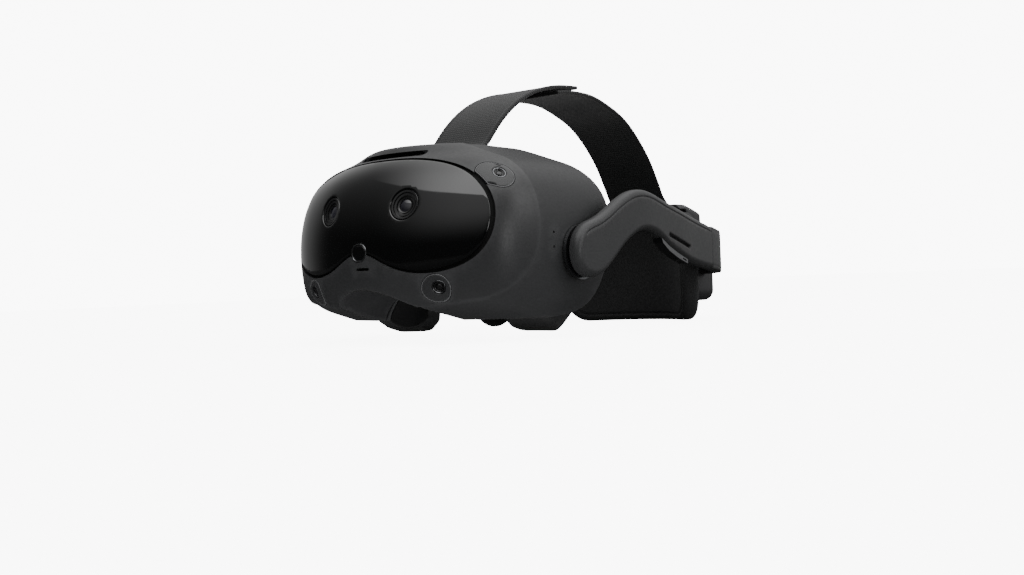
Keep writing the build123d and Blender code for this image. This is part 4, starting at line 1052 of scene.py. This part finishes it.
# ================================================================ top strap
def strap(name, path, z_lift=0.0, taper=0.0):
    line = open_curve(path, 1.3)
    d = np.gradient(line, axis=0)
    d /= np.linalg.norm(d, axis=1, keepdims=True)
    nrm = np.stack([-d[:, 1], d[:, 0]], 1)        # up and out
    s = chords(line)
    T, W = 2.4, 52.0
    us = np.concatenate([[-26.0, -25.8, -25.3, -24.6, -23.6], np.linspace(-22.6, 22.6, 33), [23.6, 24.6, 25.3, 25.8, 26.0]])
    prof = np.sqrt(np.clip(1 - np.clip((np.abs(us) - (26.0 - T / 2)) / (T / 2), 0, 1) ** 2, 0, 1)) * T / 2
    prof = np.maximum(prof, 0.15)
    binding = 0.22 * (np.abs(us) > 23.0)
    m, n = len(line), len(us)
    V, UV = [], []
    for sgn in (1, -1):
        for i in range(m):
            mid = line[i] - nrm[i] * T / 2
            h = prof + (binding if sgn > 0 else 0) * (prof > 0.6)
            wob = 0.16 * np.sin(s[i] / 17.0 + us / 31.0) * math.cos(s[i] / 43.0)
            q = mid[None] + nrm[i][None] * (sgn * h + wob)[:, None]
            V.append(np.stack([us, q[:, 0], q[:, 1]], 1))
            UV.append(np.stack([us, np.full(n, s[i])], 1))
    V = np.concatenate(V)
    UV = np.concatenate(UV) / 1000.0
    F = []
    k = m * n
    for i in range(m - 1):
        for j in range(n - 1):
            a0, a1, a2, a3 = i * n + j, i * n + j + 1, (i + 1) * n + j + 1, (i + 1) * n + j
            F.append((a0, a1, a2, a3))
            F.append((k + a3, k + a2, k + a1, k + a0))
    for i in range(m - 1):
        F.append((i * n, (i + 1) * n, k + (i + 1) * n, k + i * n))
        F.append(((i + 1) * n - 1, k + (i + 1) * n - 1, k + (i + 2) * n - 1, (i + 2) * n - 1))
    for j in range(n - 1):
        F.append((j + 1, j, k + j, k + j + 1))
        e = (m - 1) * n
        F.append((e + j, e + j + 1, k + e + j + 1, k + e + j))
    o = mesh_object(name, V, F, MAT["strap_fabric"])
    uvl = o.data.uv_layers.new(name="weave")
    vi = np.zeros(len(o.data.loops), int)
    o.data.loops.foreach_get("vertex_index", vi)
    uvl.data.foreach_set("uv", UV[vi].astype(np.float32).ravel())
    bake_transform(o)
    return o, s[-1]


front_path = [(81.6, 120.8), (82.8, 124.7), (85.6, 126.9), (89.4, 127.8), (93.4, 129.9), (98.4, 134.6), (104.6, 141.4), (113.0, 149.6), (130, 162.0), (145, 169.4), (160, 174.4), (181, 178.4), (201, 179.6)]
rear_path = [(176.0, 173.6), (188, 175.0), (202, 175.6), (222, 174.6), (244, 169.0), (262, 162.0), (277, 152.4), (291, 140.2), (301, 129.0), (309, 117.0), (314.8, 107.6), (319.0, 101.6), (323.2, 98.0), (324.8, 93.6), (324.8, 91.4)]
o, l1 = strap("top_strap_front", front_path)
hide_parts("strap_front")
STRAP_LEN = [l1]
o, l2 = strap("top_strap_rear", rear_path)
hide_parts("strap_rear")
STRAP_LEN.append(l2)
print("strap lengths", STRAP_LEN)

# ================================================================ padded pieces
def soft_from(node, name, voxel, passes, body, slot_name, puff=0.0, shape=None):
    """A stuffed cover over a CAD pad: its solid remeshed finely, relaxed so that every corner rounds off, slightly puckered."""
    src = NODES[node]
    me = bpy.data.meshes.new(name)
    co = np.array([tuple(v.co) for v in src.data.vertices])
    me.from_pydata([tuple(v) for v in co], [], [tuple(p.vertices) for p in src.data.polygons])
    o = bpy.data.objects.new(name, me)
    bpy.context.collection.objects.link(o)
    r = o.modifiers.new("remesh", "REMESH")
    r.mode = "VOXEL"
    r.voxel_size = voxel
    r.use_smooth_shade = True
    sm = o.modifiers.new("relax", "SMOOTH")
    sm.factor = 0.5
    sm.iterations = passes
    dg = bpy.context.evaluated_depsgraph_get()
    done = bpy.data.meshes.new_from_object(o.evaluated_get(dg))
    o.modifiers.clear()
    o.data = done
    n = len(done.vertices)
    co = np.zeros(n * 3)
    done.vertices.foreach_get("co", co)
    nn = np.zeros(n * 3)
    done.vertex_normals.foreach_get("vector", nn)
    co, nn = co.reshape(-1, 3), nn.reshape(-1, 3)
    q = co * 1000
    pucker = 0.10 * np.sin(q[:, 0] / 3.1 + 1.3 * np.sin(q[:, 2] / 5.0)) * np.sin(q[:, 2] / 4.1 + np.sin(q[:, 1] / 6.0))
    slow = 0.28 * np.sin(q[:, 0] / 13.0 + 0.7) * np.sin(q[:, 2] / 11.0 + q[:, 1] / 17.0)
    co += nn * ((pucker + slow + puff) / 1000.0)[:, None]
    if shape is not None:
        co = to_row(shape(co * 1000.0 + np.array([0, YM, ZR])))
    done.vertices.foreach_set("co", co.ravel())
    done.polygons.foreach_set("use_smooth", [True] * len(done.polygons))
    done.materials.clear()
    done.materials.append(MAT[slot_name])
    done.update()
    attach(o, body)
    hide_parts(node)
    return o


def key_dimple(q):
    """The cushion gives way round the inner ends of the side keys, so that they can be pressed."""
    for y0, z0, r0 in ((71.0, 82.0, 6.6), (71.0, 62.0, 6.6), (71.0, 56.0, 6.6), (71.0, 50.0, 6.6)):
        r = np.hypot(q[:, 1] - y0, q[:, 2] - z0)
        deep = np.clip((r0 + 4.0 - r) / 4.0, 0, 1)
        wall = -85.6 - (1.0 - deep) * 6.0
        q[:, 0] = np.where((r < r0 + 4.0) & (q[:, 0] < wall), wall, q[:, 0])
    # the lower wings swell rearwards and their undersides rise toward the nose and round up at the rear
    low = np.clip((34.0 - q[:, 2]) / 26.0, 0, 1)
    low = low * low * (3 - 2 * low)
    q[:, 1] += 8.0 * low * np.clip((q[:, 1] - 108.0) / 40.0, 0, 1)
    rear = np.clip((q[:, 1] - 124.0) / 34.0, 0, 1)
    back_in = np.clip((46.0 - np.abs(q[:, 0])) / 20.0, 0, 1) * np.clip((q[:, 1] - 96.0) / 20.0, 0, 1)
    ground = np.minimum(3.6 + 4.0 * rear ** 2 + 6.0 * back_in, 22.0)
    z = q[:, 2]
    q[:, 2] = np.where(z < 40.0, ground + np.clip(z - 3.6, 0, None) * (40.0 - ground) / 36.4, z)
    return q


def flap_shape(q):
    """The rubber flap's two legs end in rounded tips instead of square ends."""
    up_ = 5.0 * np.clip((79.0 - q[:, 1]) / 15.0, 0, 1) ** 2 + 7.0 * np.clip((q[:, 1] - 82.0) / 18.0, 0, 1) ** 2
    q[:, 2] += up_ * np.clip((40.0 - q[:, 2]) / 30.0, 0, 1)
    return q


relaxed("nose_flap", "nose_flap_rubber", 0.0006, 3, "gasket", "rubber", flap_shape)
soft_from("face_cushion", "face_cushion_cover", 0.0011, 34, "gasket", "cushion_fabric", 0.3, key_dimple)


def rear_pad():
    """Crescent pad behind the head: a knit cover pulled over foam, with a piped rim."""
    cy = 212.0

    def arc(phi, a, b):
        return np.stack([a * np.sin(phi), cy + b * np.cos(phi)], 1)

    # arc length of the pad's middle line from phi 0
    ph = np.linspace(-1.0, 1.0, 800)
    m = arc(ph, 87.0, 115.6)
    sl = chords(m) - np.interp(0, ph, chords(m))
    lim = float(np.interp(60.0, m[:, 0], sl))
    loop = rounded_loop(-lim, lim, 2.0, 88.0, 21.0, 1.0)

    def put(p, depth):
        phi = np.interp(p[:, 0], sl, ph)
        return np.stack([(80.0 + depth) * np.sin(phi) * (87.0 - 0) / 87.0, cy + (108.0 + depth * 15.2 / 14.2) * np.cos(phi), p[:, 1]], 1)

    def front(p, d):
        plump = 1.9 * (1 - np.exp(-d / 9.0)) - 0.6
        rim = round_off(d, 4.6)
        pull = 0.05 * np.sin(p[:, 0] / 3.6 + np.sin(p[:, 1] / 5.0)) * np.exp(-d / 6.0) + 0.22 * np.sin(p[:, 0] / 15.0) * np.sin(p[:, 1] / 12.0)
        crease = 0.9 * np.exp(-((d - 5.6) / 0.8) ** 2)
        return put(p, rim + 0.9 - plump * 0.9 - pull + crease)

    def backf(p, d):
        return put(p, 14.2 - round_off(d, 4.2))

    o = slab("rear_pad_cover", [loop], 1.5, [0.15, 0.5, 1.0, 1.8, 2.8, 4.0, 4.7, 5.2, 5.6, 6.0, 6.6, 7.4, 8.6], front, backf, MAT["cushion_fabric"])
    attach(o, "rear_cushion")
    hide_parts("rear_pad")
    return o


rear_pad()

# @@END@@


# ================================================================ stage, light and camera
def floor():
    n = 40
    me = bpy.data.meshes.new("floor")
    xs = np.linspace(-3.0, 3.0, n)
    vs = [(x, y, 0.0) for y in np.linspace(-2.5, 6.0, n) for x in xs]
    fs = [(j * n + i, j * n + i + 1, (j + 1) * n + i + 1, (j + 1) * n + i) for j in range(n - 1) for i in range(n - 1)]
    me.from_pydata(vs, [], fs)
    o = bpy.data.objects.new("floor", me)
    bpy.context.collection.objects.link(o)
    m, nt, b, co = _nodes("pale_floor")
    pale = _ramp(nt, _noise(nt, co, 6.0), [(0.3, (0.93, 0.93, 0.93)), (0.7, (0.96, 0.96, 0.96))])
    lpath = nt.nodes.new("ShaderNodeLightPath")
    bounce = _mix(nt, lpath.outputs["Is Diffuse Ray"], (0.03, 0.03, 0.03), (0.36, 0.36, 0.36))
    nt.links.new(_mix(nt, lpath.outputs["Is Camera Ray"], bounce, pale), b.inputs["Base Color"])
    b.inputs["Roughness"].default_value = 0.9
    b.inputs["Specular IOR Level"].default_value = 0.1
    glow = nt.nodes.new("ShaderNodeMath")
    glow.operation = "MULTIPLY"
    nt.links.new(lpath.outputs["Is Camera Ray"], glow.inputs[0])
    glow.inputs[1].default_value = 8.0
    b.inputs["Emission Color"].default_value = (1, 1, 1, 1)
    nt.links.new(glow.outputs[0], b.inputs["Emission Strength"])
    me.materials.append(m)
    o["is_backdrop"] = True
    return o


floor()
world = bpy.context.scene.world or bpy.data.worlds.new("world")
bpy.context.scene.world = world
world.use_nodes = True
wn = world.node_tree
wn.nodes.clear()


def wnode(kind, **values):
    n = wn.nodes.new(kind)
    for k, v in values.items():
        setattr(n, k, v)
    return n


wc = wnode("ShaderNodeTexCoord")
sep = wnode("ShaderNodeSeparateXYZ")
wn.links.new(wc.outputs["Generated"], sep.inputs[0])
back = wnode("ShaderNodeMapRange", interpolation_type="SMOOTHSTEP")
back.inputs["From Min"].default_value = -0.35
back.inputs["From Max"].default_value = 0.75
back.inputs["To Min"].default_value = 0.022
back.inputs["To Max"].default_value = 0.45
wn.links.new(sep.outputs["Y"], back.inputs["Value"])
high = wnode("ShaderNodeMapRange", interpolation_type="SMOOTHSTEP")
high.inputs["From Min"].default_value = 0.15
high.inputs["From Max"].default_value = 1.0
high.inputs["To Min"].default_value = 0.0
high.inputs["To Max"].default_value = 0.25
wn.links.new(sep.outputs["Z"], high.inputs["Value"])
total = wnode("ShaderNodeMath", operation="ADD")
wn.links.new(back.outputs["Result"], total.inputs[0])
wn.links.new(high.outputs["Result"], total.inputs[1])


def wmap(source, a, b, lo, hi):
    m = wnode("ShaderNodeMapRange", interpolation_type="SMOOTHSTEP")
    for k, v in (("From Min", a), ("From Max", b), ("To Min", lo), ("To Max", hi)):
        m.inputs[k].default_value = v
    wn.links.new(source, m.inputs["Value"])
    return m.outputs["Result"]


def wmul(a, b):
    m = wnode("ShaderNodeMath", operation="MULTIPLY")
    wn.links.new(a, m.inputs[0])
    wn.links.new(b, m.inputs[1])
    return m.outputs[0]


# a wide scrim overhead: crisp front edge 42 degrees up, fading out to the left, weaker behind
scrim = wmul(wmul(wmap(sep.outputs["Z"], 0.660, 0.678, 0.0, 1.0), wmap(sep.outputs["X"], -0.72, 0.10, 0.0, 1.55)), wmap(sep.outputs["Y"], -0.1, 0.7, 1.0, 0.45))
haze = wmul(wmul(wmap(sep.outputs["Z"], 0.10, 0.50, 0.0, 1.0), wmap(sep.outputs["X"], -0.65, 0.20, 0.0, 0.34)), wmap(sep.outputs["Y"], -0.6, 0.2, 1.0, 0.2))
for extra in (scrim, haze):
    more = wnode("ShaderNodeMath", operation="ADD")
    wn.links.new(total.outputs[0], more.inputs[0])
    wn.links.new(extra, more.inputs[1])
    total = more
room = wnode("ShaderNodeBackground")
room.inputs[0].default_value = (1.0, 1.0, 1.0, 1)
wn.links.new(total.outputs[0], room.inputs[1])
white = wnode("ShaderNodeBackground")
white.inputs[0].default_value = (1.0, 1.0, 1.0, 1)
white.inputs[1].default_value = 9.5
lp = wnode("ShaderNodeLightPath")
ws = wnode("ShaderNodeMixShader")
wn.links.new(lp.outputs["Is Camera Ray"], ws.inputs[0])
wn.links.new(room.outputs[0], ws.inputs[1])
wn.links.new(white.outputs[0], ws.inputs[2])
wo = wnode("ShaderNodeOutputWorld")
wn.links.new(ws.outputs[0], wo.inputs[0])


def softbox(name, loc, target, size, power):
    l = bpy.data.lights.new(name, "AREA")
    l.shape = "RECTANGLE"
    l.size, l.size_y = size
    l.energy = power
    o = bpy.data.objects.new(name, l)
    o.location = loc
    d = (Vector(target) - Vector(loc)).normalized()
    o.rotation_mode = "QUATERNION"
    o.rotation_quaternion = d.to_track_quat("-Z", "Y")
    bpy.context.collection.objects.link(o)
    return o


MID = (CAD_LO + CAD_HI) / 2
softbox("right_rear", (1.5, 0.55, 0.85), MID, (0.9, 0.9), 4.0)
softbox("right_low", (1.35, -0.25, 0.18), MID, (0.6, 0.3), 1.6)
fill = softbox("front_low", (-0.2, -1.4, 0.10), MID, (1.6, 0.16), 1.6)
fill.visible_glossy = False
under = softbox("under_bounce", (0.0, -0.17, 0.0012), (0.0, -0.17, 1.0), (0.30, 0.14), 0.12)
under.visible_glossy = False
under.visible_camera = False

C = Vector((505.95, -489.24 - YM, 38.76 - ZR)) / 1000.0
yaw, pitch, roll = math.radians(38.474), math.radians(-0.347), math.radians(-2.234)
fw = Vector((-math.sin(yaw) * math.cos(pitch), math.cos(yaw) * math.cos(pitch), math.sin(pitch)))
right = fw.cross(Vector((0, 0, 1))).normalized()
up = right.cross(fw)
R = math.cos(roll) * right + math.sin(roll) * up
U = -math.sin(roll) * right + math.cos(roll) * up
cam = bpy.data.cameras.new("camera")
cam.sensor_width = 36.0
cam.lens = 36.0 * 1141.44 / 1024.0
cam.clip_start, cam.clip_end = 0.01, 50.0
co = bpy.data.objects.new("camera", cam)
mw = Matrix((( R.x, U.x, -fw.x, C.x), (R.y, U.y, -fw.y, C.y), (R.z, U.z, -fw.z, C.z), (0, 0, 0, 1)))
co.matrix_world = mw
bpy.context.collection.objects.link(co)
bpy.context.scene.camera = co
